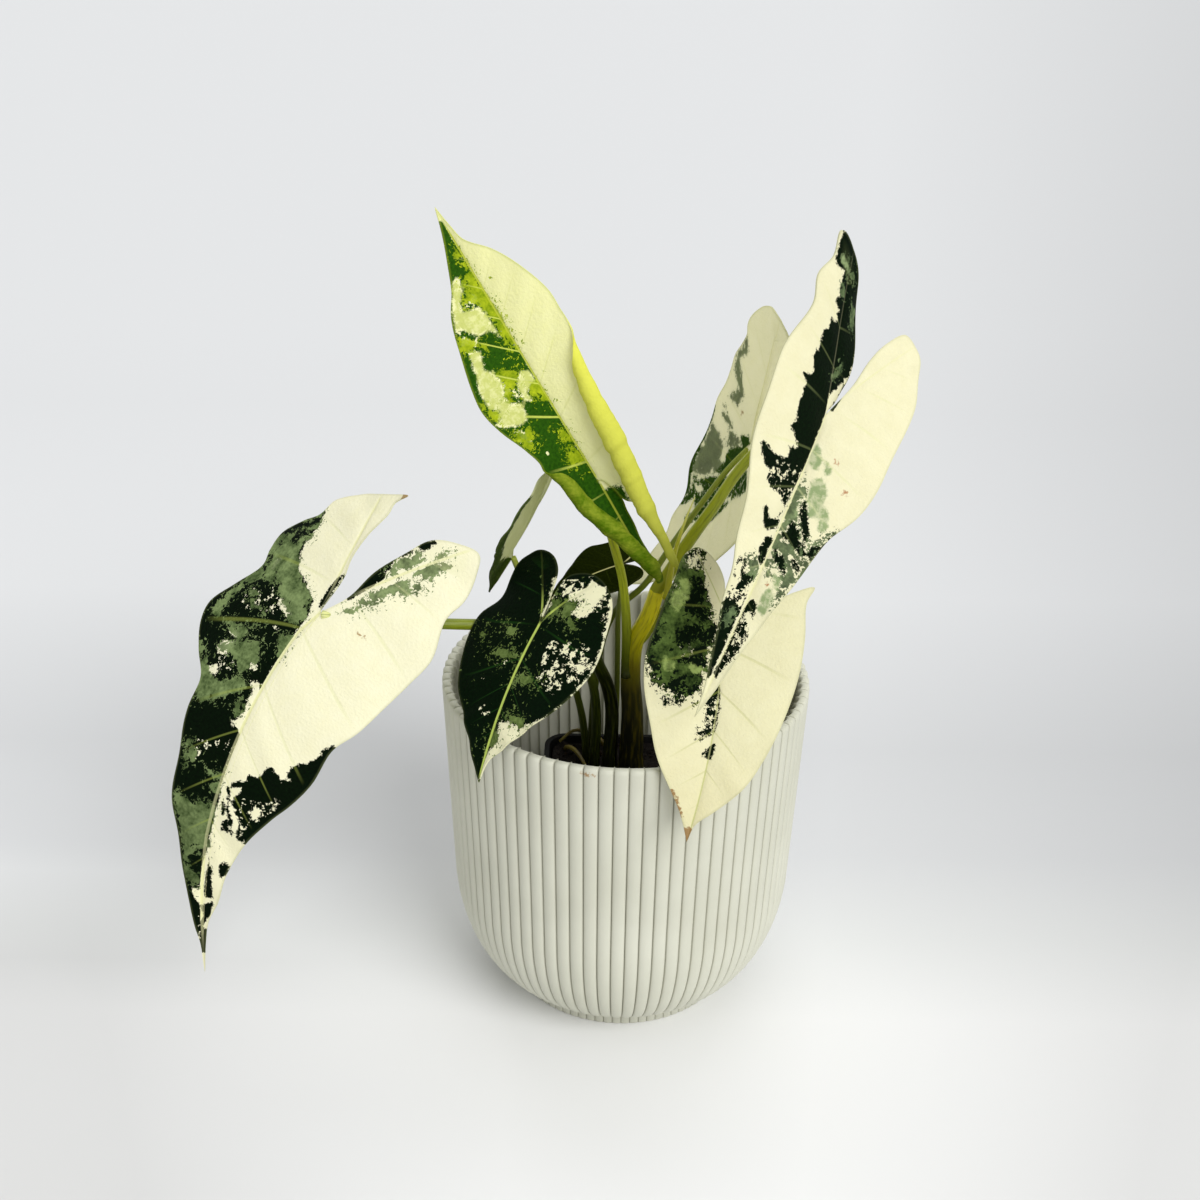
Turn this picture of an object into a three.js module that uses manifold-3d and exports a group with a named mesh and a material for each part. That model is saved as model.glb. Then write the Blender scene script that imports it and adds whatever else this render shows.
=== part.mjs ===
// A young variegated Alocasia 'Frydek' in a square nursery pot that stands loose in a round ribbed
// cover pot. Millimetres, +Z up, origin at the centre of the cover pot's flat base, front at -Y.
import * as THREE from 'three';
import * as BufferGeometryUtils from 'three/addons/utils/BufferGeometryUtils.js';
import Module from 'manifold-3d';

const wasm = await Module();
wasm.setup();

// ---- Driving dimensions -------------------------------------------------------------------------

const GAP = 0.35; // clearance kept between pieces that touch

const COVER_POT = {
  height: 135,
  rimRadius: 70,
  taper: 0.036, // radius lost per millimetre below the rim
  wall: 3.6,
  shoulder: 53, // height where the side turns into the rounded bottom
  outerBase: 37, // radius at which the outer curve of the bottom ends
  innerBase: 41, // radius of the flat floor inside
  footRadius: 45,
  footHeight: 3,
  floor: 8,
  segments: 72,
  curveSteps: 8, // steps in the rounded bottom
};

const NURSERY_POT = {
  centre: [6, -5],
  bottomWidth: 50,
  topWidth: 74,
  height: 78,
  corner: 8,
  wall: 1.2,
  lip: 1,
  lipHeight: 4,
};

const SOIL = { below: 2.3, depth: 70 }; // top surface below the nursery pot's rim, and depth of the fill

const BLADE_THICKNESS = 0.8;
const BLADE_CURVE_ALLOWANCE = 0.1; // the blade bends towards its stalk within the stalk's width
const STALK_SIDES = 8;
const STALK_STEP = 9; // length of one straight step of a stalk

const COLOURS = {
  pot: 0xdedfd4,
  nursery: 0x151515,
  soil: 0x1c1712,
  stem: 0xa9a820,
  petiole: 0x8f9a1e,
  spike: 0xb4b52c,
  root: 0xb9a840,
  cream: 0xe9e5c0,
  dark: 0x1d3a1a,
  lime: 0xa9c043,
  pale: 0xcfd0b0,
};

const soilTop = COVER_POT.floor + GAP + NURSERY_POT.height - SOIL.below;
const footing = soilTop + GAP; // where stalks and roots start

// Each leaf blade is given flat, as if pressed: x across the midrib and y along it, with the stalk's
// seat at 0, 0, the drawn-out tip at y = length and the two basal lobes at negative y. The blade is
// then folded along its midrib, drooped, swept, twisted and turned to its place on the plant.
// Angles are in degrees; fold is [at the seat, at the tip] and curl is per 10 mm of width.
const GENERIC_HALF = [[0.5, -2], [0.5, -14], [1, -28], [5, -41], [12, -50], [21, -54], [28, -52],
  [31, -44], [32, -34], [33, -22], [33, -5], [30, 16], [24, 36], [17, 53], [11, 73], [6, 90],
  [2, 104], [0, 115]];
const GENERIC_LENGTH = 115;

function genericHalf(length, breadth = 1) {
  const k = length / GENERIC_LENGTH;
  return GENERIC_HALF.map(([x, y]) => [x * k * breadth, y * k]);
}

const LEAVES = {
  leaf_a: {
    seat: [-110, -30, 173], heading: -152, pitch: -46, roll: -39, droop: 22, sweep: -31, twist: 8,
    foldLeft: [5, 10], foldRight: [-18, 10], curl: -3, length: 131, colour: COLOURS.cream,
    right: [[0.5, -2], [1, -16], [2, -36], [3, -51], [9, -51], [15, -46], [23, -43], [30, -39],
      [34, -33], [34, -26], [39, -20], [44, -11], [42, -4], [38, 2], [41, 12], [45, 22], [43, 28],
      [36, 36], [28, 43], [26, 53], [22, 69], [18, 84], [11, 99], [6, 113], [3, 123], [0, 131]],
    left: [[0.5, -2], [5, -12], [7, -25], [11, -36], [16, -46], [24, -51], [33, -53], [37, -46],
      [39, -37], [38, -28], [43, -14], [42, -2], [40, 12], [37, 27], [32, 39], [30, 56], [26, 67],
      [20, 77], [13, 90], [8, 103], [6, 113], [2, 123], [0, 131]],
  },
  leaf_b: {
    seat: [-44, 8, 180], heading: -162, pitch: -58, roll: 19, droop: 5, sweep: 0, twist: 0,
    foldLeft: [12, 10], foldRight: [12, 10], curl: -3, length: 48, colour: COLOURS.pale,
    right: genericHalf(48, 1.35), left: genericHalf(48, 1.35),
  },
  leaf_c: {
    seat: [-31, -35, 174], heading: -128, pitch: -41, roll: 7, droop: 20, sweep: -5, twist: 0,
    foldLeft: [-2, 10], foldRight: [2, 10], curl: -3, length: 60, colour: COLOURS.dark,
    right: [[0.5, -2], [4, -18], [8, -23], [13, -26], [20, -26], [25, -22], [25, -13], [24, -4],
      [28, 4], [29, 12], [26, 21], [21, 31], [14, 40], [8, 48], [4, 54], [0, 60]],
    left: [[0.5, -2], [0.5, -19], [4, -22], [11, -23], [18, -20], [24, -13], [27, -3], [30, 9],
      [27, 20], [21, 31], [14, 39], [8, 46], [3, 53], [0, 60]],
  },
  leaf_d: {
    seat: [-12, -6, 217], heading: 165, pitch: 57, roll: -66, droop: 10, sweep: 1, twist: 0,
    foldLeft: [20, 20], foldRight: [20, 20], curl: -3, length: 109, colour: COLOURS.lime,
    right: [[0.5, -2], [1, -20], [3, -44], [7, -44], [8, -20], [9, 0], [11, 18], [14, 36], [20, 53],
      [20, 65], [16, 77], [10, 87], [3, 96], [1, 103], [0, 109]],
    left: [[0.5, -2], [0.5, -20], [1, -45], [5, -33], [10, -12], [14, 12], [17, 22], [21, 32],
      [23, 41], [22, 50], [19, 62], [14, 75], [10, 82], [5, 93], [1, 104], [0, 109]],
  },
  leaf_e: {
    seat: [66, -13, 244], heading: -116, pitch: -35, roll: -42, droop: 18, sweep: -4, twist: -23,
    foldLeft: [11, 20], foldRight: [26, 20], curl: -3, length: 115, colour: COLOURS.cream,
    right: [[0.5, -2], [0.5, -14], [1, -29], [5, -41], [14, -50], [24, -55], [34, -54], [30, -46],
      [33, -35], [29, -26], [30, -5], [27, 16], [20, 36], [14, 53], [9, 73], [5, 90], [1, 104],
      [0, 115]],
    left: [[0.5, -2], [5, -16], [8, -30], [12, -41], [18, -49], [25, -47], [30, -35], [30, -15],
      [28, 4], [24, 28], [17, 42], [13, 58], [10, 70], [6, 86], [3, 102], [0, 115]],
  },
  leaf_f: {
    seat: [33, -32, 178], heading: -90, pitch: -44, roll: -10, droop: 17, sweep: 15, twist: -7,
    foldLeft: [12, 10], foldRight: [17, 10], curl: -3, length: 82, colour: COLOURS.cream,
    right: [[0.5, -2], [0.5, -11], [3, -18], [10, -22], [16, -18], [19, -9], [23, 0], [26, 10],
      [28, 20], [27, 33], [22, 47], [17, 58], [10, 67], [4, 75], [0, 82]],
    left: [[0.5, -2], [8, -2], [17, -4], [26, -8], [33, -10], [30, -4], [29, 8], [27, 22],
      [24, 34], [19, 49], [14, 60], [6, 70], [1, 76], [0, 82]],
  },
  leaf_h: {
    seat: [46, 41, 211], heading: 122, pitch: -62, roll: 114, droop: 30, sweep: 0, twist: 0,
    foldLeft: [-14, -8], foldRight: [-10, -8], curl: 1.5, length: 96, colour: COLOURS.pale,
    right: [[0.5, -2], [0.5, -13], [1, -24], [5, -35], [12, -42], [20, -44], [26, -41], [30, -32],
      [32, -20], [34, -4], [35, 12], [34, 26], [30, 40], [24, 54], [16, 68], [9, 80], [3, 90],
      [0, 96]],
    left: [[0.5, -2], [0.5, -15], [1, -36], [2, -52], [5, -59], [11, -60], [19, -57], [27, -52],
      [31, -43], [29, -35], [31, -25], [34, -17], [35, -6], [35, 2], [33, 14], [31, 24], [26, 34],
      [19, 48], [12, 62], [6, 74], [3, 84], [0, 96]],
  },
  leaf_j: {
    seat: [-2, 28.5, 166.5], heading: -143, pitch: 3, roll: 1, droop: 26, sweep: 0, twist: 0,
    foldLeft: [5, 5], foldRight: [5, 5], curl: -3, length: 38, colour: COLOURS.dark,
    right: genericHalf(38, 1.75),
    left: [[0.5, -1], [5, -3], [11, -2], [16, 4], [18, 12], [15, 22], [8, 31], [0, 38]],
  },
};

// Stalks, as centre lines from the soil or the stem up to the blade that each one carries.
const fromSoil = (x, y) => [[x, y, footing], [x, y, footing + 4]];

const STEM = {
  path: [...fromSoil(3, 8), [3, 7, 113], [2, 6, 129], [3, 4, 145], [8, 2, 158], [11, 0, 170]],
  radius: 4.4,
  topScale: 0.62,
};

const STALKS = {
  petiole_a: {
    leaf: 'leaf_a', radius: 2.9, topScale: 0.55,
    path: [...fromSoil(-5.5, 9.5), [-5, 9, 113], [-7, 7, 125], [-10, 4, 134], [-14, -2, 146],
      [-24, -9, 155], [-35, -13, 161], [-58, -18.5, 164], [-81, -26, 168.5], [-99, -29.5, 172]],
  },
  petiole_b: {
    leaf: 'leaf_b', radius: 1.5, topScale: 0.75,
    path: [...fromSoil(-15, 15), [-17, 14, 108], [-23, 13, 130], [-32, 11, 150], [-38.5, 9, 166]],
  },
  petiole_c: {
    leaf: 'leaf_c', radius: 2.1, topScale: 0.6,
    path: [...fromSoil(-11.5, 11), [-11, 8, 108], [-12, 4, 124], [-15, -4, 139], [-19, -14, 153],
      [-25, -25, 166]],
  },
  petiole_d: {
    leaf: 'leaf_d', radius: 1.9, topScale: 0.75,
    path: [[0, 3, 134], [0, 1.5, 150], [-1, 2, 165], [-2.5, 3, 175], [-6, 4, 188], [-9, 2, 200]],
  },
  petiole_e: {
    leaf: 'leaf_e', radius: 2.6, topScale: 0.6,
    path: [[11.2, -0.1, 171], [14.5, -1, 176.5], [21, -1, 189], [30, -2, 204.5], [37.5, -3, 218],
      [45, -5, 229], [54, -8, 238], [61, -11, 242]],
  },
  petiole_f: {
    leaf: 'leaf_f', radius: 1.9, topScale: 0.7,
    path: [[7, 5, 148], [12, 6, 156], [19, 2, 164], [26, -8, 171], [31, -20, 176]],
  },
  petiole_h: {
    leaf: 'leaf_h', radius: 1.5, topScale: 0.7,
    path: [...fromSoil(-13, 24), [-12, 25, 110], [-9, 27.5, 133], [-4, 28, 146.5], [7, 28, 158],
      [17, 30, 174], [28, 34, 190], [38, 38, 203]],
  },
  petiole_j: {
    leaf: 'leaf_j', radius: 1.2, topScale: 0.8,
    path: [...fromSoil(-4, 19), [-3, 21, 110], [-3, 22.5, 130], [-3, 24.5, 148], [-2, 27.5, 159]],
  },
};

const SPIKE = {
  path: [[14.5, -4.2, 170], [15.2, -5.1, 178], [17, -6.3, 190], [20, -7.5, 202], [23, -7.5, 211]],
  radius: 1.5,
  topScale: 0.15,
};

const ROOT_RADIUS = 1.1;
const ROOT_TOP_SCALE = 0.6;
const rootFooting = footing + ROOT_RADIUS;
const ROOTS = {
  aerial_root_1: [[-8, 27, rootFooting], [-14, 29, 89], [-20, 30, 89.5], [-26, 28, rootFooting]],
  aerial_root_2: [[-23, 23, rootFooting], [-20, 18, 88], [-16, 9, 88], [-13, 2, rootFooting]],
};

// ---- Solids from manifold-3d --------------------------------------------------------------------

function toSolid(geometry) {
  const bare = new THREE.BufferGeometry();
  bare.setAttribute('position', geometry.getAttribute('position'));
  if (geometry.index) bare.setIndex(geometry.index);
  const merged = BufferGeometryUtils.mergeVertices(bare, 1e-4);
  return new wasm.Manifold(new wasm.Mesh({
    numProp: 3,
    vertProperties: Float32Array.from(merged.getAttribute('position').array),
    triVerts: Uint32Array.from(merged.index.array),
  }));
}

function toGeometry(solid) {
  const mesh = solid.getMesh();
  const geometry = new THREE.BufferGeometry();
  geometry.setAttribute('position', new THREE.BufferAttribute(Float32Array.from(mesh.vertProperties), 3));
  geometry.setIndex(Array.from(mesh.triVerts));
  return geometry;
}

function cutAway(geometry, ...tools) {
  return toGeometry(tools.reduce((solid, tool) => solid.subtract(toSolid(tool)), toSolid(geometry)));
}

// ---- Pots and soil ------------------------------------------------------------------------------

function coverPotGeometry() {
  const { height, rimRadius, taper, wall, shoulder, footRadius, footHeight, floor } = COVER_POT;
  const { outerBase, innerBase, curveSteps } = COVER_POT;
  const shoulderRadius = rimRadius - taper * (height - shoulder);
  const bottomCurve = (inset, base, rise) => {
    const points = [];
    for (let i = 1; i <= curveSteps; i += 1) {
      const angle = (i / curveSteps) * (Math.PI / 2);
      points.push(new THREE.Vector2(
        base + (shoulderRadius - inset - base) * Math.cos(angle),
        shoulder - (shoulder - rise) * Math.sin(angle),
      ));
    }
    return points;
  };
  const inside = [new THREE.Vector2(rimRadius - wall, height),
    new THREE.Vector2(shoulderRadius - wall, shoulder), ...bottomCurve(wall, innerBase, floor)];
  const outside = [new THREE.Vector2(rimRadius, height), new THREE.Vector2(shoulderRadius, shoulder),
    ...bottomCurve(0, outerBase, footHeight).filter((point) => point.x > footRadius + 1)];
  const profile = [new THREE.Vector2(0, 0), new THREE.Vector2(footRadius, 0),
    new THREE.Vector2(footRadius, footHeight), ...outside.reverse(), ...inside, new THREE.Vector2(0, floor)];
  return new THREE.LatheGeometry(profile, COVER_POT.segments).rotateX(Math.PI / 2);
}

// A solid lofted through level rounded squares, each { width, z }, centred on the nursery pot.
function squareLoft(levels, corner) {
  const perCorner = 4;
  const positions = [];
  for (const { width, z } of levels) {
    const reach = width / 2 - corner;
    for (let quarter = 0; quarter < 4; quarter += 1) {
      for (let i = 0; i < perCorner; i += 1) {
        const angle = (quarter + i / (perCorner - 1)) * (Math.PI / 2);
        const cornerAngle = (quarter + 0.5) * (Math.PI / 2);
        positions.push(
          NURSERY_POT.centre[0] + Math.SQRT2 * reach * Math.cos(cornerAngle) + corner * Math.cos(angle),
          NURSERY_POT.centre[1] + Math.SQRT2 * reach * Math.sin(cornerAngle) + corner * Math.sin(angle),
          z,
        );
      }
    }
  }
  const around = 4 * perCorner;
  const last = levels.length - 1;
  const index = [];
  for (let k = 0; k < last; k += 1) {
    for (let i = 0; i < around; i += 1) {
      const next = (i + 1) % around;
      const a = k * around + i;
      const b = k * around + next;
      index.push(a, b, b + around, a, b + around, a + around);
    }
  }
  for (let i = 1; i < around - 1; i += 1) {
    index.push(0, i + 1, i, last * around, last * around + i, last * around + i + 1);
  }
  const geometry = new THREE.BufferGeometry();
  geometry.setAttribute('position', new THREE.Float32BufferAttribute(positions, 3));
  geometry.setIndex(index);
  return geometry;
}

function nurseryPotGeometry() {
  const { bottomWidth, topWidth, height, corner, wall, lip, lipHeight } = NURSERY_POT;
  const bottom = COVER_POT.floor + GAP;
  const top = bottom + height;
  const widthAt = (z) => bottomWidth + (topWidth - bottomWidth) * ((z - bottom) / height);
  const shell = squareLoft([
    { width: bottomWidth, z: bottom },
    { width: widthAt(top - lipHeight), z: top - lipHeight },
    { width: widthAt(top - lipHeight) + 2 * lip, z: top - lipHeight + 0.5 },
    { width: topWidth + 2 * lip, z: top },
  ], corner);
  const hollow = squareLoft([
    { width: widthAt(bottom + wall) - 2 * wall, z: bottom + wall },
    { width: widthAt(top + 1) - 2 * wall, z: top + 1 },
  ], corner - wall);
  return cutAway(shell, hollow);
}

function soilGeometry() {
  const bottom = COVER_POT.floor + GAP;
  const { bottomWidth, topWidth, height, corner, wall } = NURSERY_POT;
  const widthAt = (z) => bottomWidth + (topWidth - bottomWidth) * ((z - bottom) / height);
  const inset = 2 * (wall + GAP);
  const low = soilTop - SOIL.depth;
  return squareLoft([
    { width: widthAt(low) - inset, z: low },
    { width: widthAt(soilTop) - inset, z: soilTop },
  ], corner - wall - GAP);
}

// ---- Leaf blades --------------------------------------------------------------------------------

const rad = THREE.MathUtils.degToRad;

function bladeFrame({ heading, pitch, roll }) {
  const [a, e, r] = [rad(heading), rad(pitch), rad(roll)];
  const along = new THREE.Vector3(Math.cos(e) * Math.cos(a), Math.cos(e) * Math.sin(a), Math.sin(e));
  const level = new THREE.Vector3(-Math.sin(e) * Math.cos(a), -Math.sin(e) * Math.sin(a), Math.cos(e));
  const side = new THREE.Vector3().crossVectors(along, level);
  const up = level.clone().multiplyScalar(Math.cos(r)).addScaledVector(side, Math.sin(r));
  return { along, up, across: new THREE.Vector3().crossVectors(along, up) };
}

// The midrib at distance y from the seat: its point, its upper-face direction and its cross direction.
function midribAt(leaf, y) {
  const steps = 24;
  const sample = (t) => {
    const pitch = -rad(leaf.droop) * Math.max(t, 0) / leaf.length;
    const yaw = rad(leaf.sweep) * Math.max(t, 0) / leaf.length;
    return { pitch, yaw, tangent: new THREE.Vector3(
      Math.sin(yaw) * Math.cos(pitch), Math.cos(yaw) * Math.cos(pitch), Math.sin(pitch)) };
  };
  const point = new THREE.Vector3();
  for (let i = 0; i < steps; i += 1) point.addScaledVector(sample(y * (i + 0.5) / steps).tangent, y / steps);
  const { yaw, tangent } = sample(y);
  const level = new THREE.Vector3(Math.cos(yaw), -Math.sin(yaw), 0);
  const lift = new THREE.Vector3().crossVectors(level, tangent);
  const turn = rad(leaf.twist) * y / leaf.length;
  const cross = level.clone().multiplyScalar(Math.cos(turn)).addScaledVector(lift, Math.sin(turn));
  const up = lift.multiplyScalar(Math.cos(turn)).addScaledVector(level, -Math.sin(turn));
  return { point, cross, up };
}

// A point of the blade in the plant's frame. side is +1 or -1; lift moves it along the upper face's
// normal, to give the blade its thickness.
function bladePoint(leaf, frame, side, x, y, lift) {
  const rib = midribAt(leaf, y);
  const share = THREE.MathUtils.clamp(y / leaf.length, -0.4, 1);
  const [base, tip] = side > 0 ? leaf.foldRight : leaf.foldLeft;
  const fold = rad(base + (tip - base) * share);
  const bend = rad(leaf.curl) / 10;
  const out = (Math.sin(fold + bend * x) - Math.sin(fold)) / bend;
  const rise = -(Math.cos(fold + bend * x) - Math.cos(fold)) / bend;
  const local = rib.point.addScaledVector(rib.cross, side * out).addScaledVector(rib.up, rise + lift);
  return new THREE.Vector3(...leaf.seat)
    .addScaledVector(frame.across, local.x)
    .addScaledVector(frame.along, local.y)
    .addScaledVector(frame.up, local.z);
}

// Points on the margin where the side veins end: first those of the basal lobe, which fan out from
// the seat, then those of the veins that leave the midrib at equal steps.
function veinEnds(leaf, outline, lobeRows, bladeRows) {
  const slant = 0.5; // how far a side vein runs forward for each millimetre outward
  const curve = new THREE.SplineCurve(outline.map(([x, y]) => new THREE.Vector2(x, y)));
  const dense = curve.getPoints(400);
  const root = (point) => point.y - slant * point.x;
  let start = dense.findIndex((point, i) => i > 40 && root(point) >= 0);
  const ends = [];
  for (let i = 0; i < lobeRows; i += 1) ends.push(dense[Math.round(start * i / lobeRows)]);
  for (let i = 0; i < bladeRows; i += 1) {
    const target = leaf.length * i / bladeRows;
    while (root(dense[start]) < target) start += 1;
    ends.push(dense[start]);
  }
  return ends;
}

function bladeGeometry(leaf) {
  const lobeRows = leaf.length > 90 ? 9 : 7;
  const bladeRows = leaf.length > 90 ? 12 : 9;
  const columns = 4;
  const frame = bladeFrame(leaf);
  const flat = [];
  const addFlat = (side, x, y) => flat.push({ side, x, y }) - 1;
  const midrib = Array.from({ length: bladeRows + 1 }, (_, i) => addFlat(1, 0, leaf.length * i / bladeRows));
  const faces = [];
  for (const side of [1, -1]) {
    const ends = veinEnds(leaf, side > 0 ? leaf.right : leaf.left, lobeRows, bladeRows);
    const rows = ends.map((end, i) => {
      const inner = midrib[Math.max(0, i - lobeRows)];
      const from = flat[inner];
      const row = [inner];
      for (let j = 1; j <= columns; j += 1) {
        const k = j / columns;
        row.push(addFlat(side, Math.max(end.x, 0.4) * k, from.y + (end.y - from.y) * k));
      }
      return row;
    });
    rows.push(Array(columns + 1).fill(midrib[bladeRows]));
    for (let i = 0; i + 1 < rows.length; i += 1) {
      for (let j = 0; j < columns; j += 1) {
        const quad = [rows[i][j], rows[i][j + 1], rows[i + 1][j + 1], rows[i + 1][j]];
        if (side < 0) quad.reverse();
        for (const face of [[quad[0], quad[1], quad[2]], [quad[0], quad[2], quad[3]]]) {
          if (new Set(face).size === 3) faces.push(face);
        }
      }
    }
  }
  const half = BLADE_THICKNESS / 2;
  const positions = [];
  for (const lift of [half, -half]) {
    for (const { side, x, y } of flat) positions.push(...bladePoint(leaf, frame, side, x, y, lift).toArray());
  }
  const under = flat.length;
  const index = [];
  const edges = new Map();
  for (const [a, b, c] of faces) {
    index.push(a, b, c, under + a, under + c, under + b);
    for (const [from, to] of [[a, b], [b, c], [c, a]]) {
      const twin = `${to},${from}`;
      if (edges.has(twin)) edges.delete(twin);
      else edges.set(`${from},${to}`, [from, to]);
    }
  }
  for (const [from, to] of edges.values()) {
    index.push(to, from, under + from, to, under + from, under + to);
  }
  const geometry = new THREE.BufferGeometry();
  geometry.setAttribute('position', new THREE.Float32BufferAttribute(positions, 3));
  geometry.setIndex(index);
  return geometry;
}

// ---- Stem, stalks and roots ---------------------------------------------------------------------

// A round tube along a curve, drawn in towards its far end: a tube of radius 1 whose rings are then
// scaled about their own centres. grow widens it evenly, for cutting a clearance.
function stalkGeometry(points, radius, topScale, grow = 0) {
  const knots = points.map((point) => new THREE.Vector3(...point));
  const curve = new THREE.CatmullRomCurve3(knots, false, 'centripetal');
  const steps = Math.max(6, Math.round(curve.getLength() / STALK_STEP));
  const section = new THREE.Shape();
  for (let i = 0; i < STALK_SIDES; i += 1) {
    const angle = (i / STALK_SIDES) * 2 * Math.PI;
    const [x, y] = [Math.cos(angle), Math.sin(angle)];
    if (i === 0) section.moveTo(x, y);
    else section.lineTo(x, y);
  }
  section.closePath();
  const geometry = new THREE.ExtrudeGeometry(section, { steps, extrudePath: curve, curveSegments: 1 });
  const rings = Array.from({ length: steps + 1 }, (_, i) => curve.getPointAt(i / steps));
  const position = geometry.getAttribute('position');
  const vertex = new THREE.Vector3();
  for (let i = 0; i < position.count; i += 1) {
    vertex.fromBufferAttribute(position, i);
    const offRing = rings.map((ring) => Math.abs(ring.distanceTo(vertex) - 1));
    const nearest = offRing.indexOf(Math.min(...offRing));
    const scale = radius * (1 + (topScale - 1) * nearest / steps) + grow;
    vertex.sub(rings[nearest]).multiplyScalar(scale).add(rings[nearest]);
    position.setXYZ(i, vertex.x, vertex.y, vertex.z);
  }
  return geometry;
}

// The stalk's end meets the blade's underside at its seat, whatever angle it comes in at.
function stalkPath({ leaf, radius, topScale, path }) {
  const blade = LEAVES[leaf];
  const { up } = bladeFrame(blade);
  const seat = new THREE.Vector3(...blade.seat);
  const arrival = seat.clone().sub(new THREE.Vector3(...path.at(-1))).normalize();
  const slope = Math.sqrt(1 - Math.min(1, arrival.dot(up) ** 2));
  const offset = BLADE_THICKNESS / 2 + GAP + BLADE_CURVE_ALLOWANCE + radius * topScale * slope;
  return [...path, seat.addScaledVector(up, -offset).toArray()];
}

// ---- Assembly -----------------------------------------------------------------------------------

const group = new THREE.Group();

function addPiece(name, geometry, color, roughness = 0.6) {
  const piece = new THREE.Mesh(geometry, new THREE.MeshStandardMaterial({ color, roughness, metalness: 0 }));
  piece.name = name;
  group.add(piece);
}

addPiece('cover_pot', coverPotGeometry(), COLOURS.pot, 0.55);
addPiece('nursery_pot', nurseryPotGeometry(), COLOURS.nursery, 0.5);
addPiece('soil', soilGeometry(), COLOURS.soil, 0.95);

for (const [name, leaf] of Object.entries(LEAVES)) addPiece(name, bladeGeometry(leaf), leaf.colour, 0.45);

addPiece('stem', stalkGeometry(STEM.path, STEM.radius, STEM.topScale), COLOURS.stem);
const stemTip = STEM.path.at(-1);
const beyondTip = [stemTip[0] + GAP / 4, stemTip[1] - GAP / 6, stemTip[2] + GAP];
const stemClearance = stalkGeometry([...STEM.path.slice(0, -1), beyondTip], STEM.radius, STEM.topScale, GAP);
for (const [name, stalk] of Object.entries(STALKS)) {
  const tube = stalkGeometry(stalkPath(stalk), stalk.radius, stalk.topScale);
  addPiece(name, cutAway(tube, stemClearance), COLOURS.petiole);
}
addPiece('new_leaf_spike',
  cutAway(stalkGeometry(SPIKE.path, SPIKE.radius, SPIKE.topScale), stemClearance), COLOURS.spike);
for (const [name, path] of Object.entries(ROOTS)) {
  addPiece(name, stalkGeometry(path, ROOT_RADIUS, ROOT_TOP_SCALE), COLOURS.root);
}

export default group;
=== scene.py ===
# A young variegated Alocasia in a square nursery pot that stands loose in a ribbed cover pot.
# Sections follow the object from the cover pot up to the leaves, then the floor, light and camera.
import math

import bpy
import numpy as np
from mathutils import Matrix, Vector, geometry


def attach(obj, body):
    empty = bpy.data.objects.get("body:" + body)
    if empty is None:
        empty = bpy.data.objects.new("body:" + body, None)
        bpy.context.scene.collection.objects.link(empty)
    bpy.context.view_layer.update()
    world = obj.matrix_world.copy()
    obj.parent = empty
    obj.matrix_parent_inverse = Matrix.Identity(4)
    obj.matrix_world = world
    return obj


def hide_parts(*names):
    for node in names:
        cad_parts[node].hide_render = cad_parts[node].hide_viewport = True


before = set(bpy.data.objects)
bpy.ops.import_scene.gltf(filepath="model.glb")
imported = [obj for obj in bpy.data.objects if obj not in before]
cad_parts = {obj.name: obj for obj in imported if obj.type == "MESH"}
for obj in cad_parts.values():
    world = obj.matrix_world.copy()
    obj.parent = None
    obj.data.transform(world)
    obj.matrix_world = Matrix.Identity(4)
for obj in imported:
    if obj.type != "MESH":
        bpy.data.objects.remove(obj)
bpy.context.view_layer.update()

# ---- Cover pot ------------------------------------------------------------------------------------
# A round cover pot of injection-moulded polypropylene, open at the top, on a low foot ring.
# Its wall is fluted all round: 81 rounded ribs with a narrow groove between each pair, inside and out.

MM = 0.001
RIBS, RIB_DEPTH = 81, 1.7 * MM
RIB_POINTS = (0, 0.035, 0.09, 0.22, 0.5, 0.78, 0.91, 0.965)  # where a rib's points lie across it
FIRST_GROOVE = -0.6088  # radians round from the front
RIM_RADIUS, RIM_HEIGHT, TAPER, WALL = 70 * MM, 135 * MM, 0.036, 3.4 * MM
SHOULDER_HEIGHT, BOTTOM_RADIUS = 53.3 * MM, 37.2 * MM
FOOT_RADIUS, FOOT_HEIGHT = 45 * MM, 3 * MM
INNER_SHOULDER, FLOOR_RADIUS, FLOOR_HEIGHT = 57 * MM, 41 * MM, 8 * MM
SMEAR_AT, SMEAR_SCALE = (-13.5 * MM, -68.5 * MM, 132.5 * MM), (120, 120, 240)


def colour(hex_code):
    """An sRGB hex colour as the linear values that a shader works in."""
    parts = [int(hex_code[i:i + 2], 16) / 255 for i in (1, 3, 5)]
    return [c / 12.92 if c <= 0.04045 else ((c + 0.055) / 1.055) ** 2.4 for c in parts] + [1.0]


def new_material(name):
    material = bpy.data.materials.new(name)
    material.use_nodes = True
    material.node_tree.nodes.clear()
    return material, material.node_tree


def node(tree, kind, inputs=(), stops=(), **settings):
    """Adds a shader node. Inputs come in order or by name: each is a value, a hex colour, a socket or a node,
    which stands for its first live output. Stops are the places and colours of a colour ramp."""
    made = tree.nodes.new("ShaderNode" + kind)
    for name, value in settings.items():
        setattr(made, name, value)
    for key, value in inputs.items() if isinstance(inputs, dict) else enumerate(inputs):
        if isinstance(value, bpy.types.Node):
            value = next(socket for socket in value.outputs if socket.enabled)
        if isinstance(value, bpy.types.NodeSocket):
            tree.links.new(value, made.inputs[key])
        else:
            made.inputs[key].default_value = colour(value) if isinstance(value, str) else value
    for _ in stops[2:]:
        made.color_ramp.elements.new(0.5)
    for element, (position, code) in zip(made.color_ramp.elements if stops else (), stops):
        element.position, element.color = position, colour(code)
    return made


def deselect():
    if bpy.context.object and bpy.context.object.mode != "OBJECT":
        bpy.ops.object.mode_set(mode="OBJECT")
    bpy.ops.object.select_all(action="DESELECT")


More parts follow.
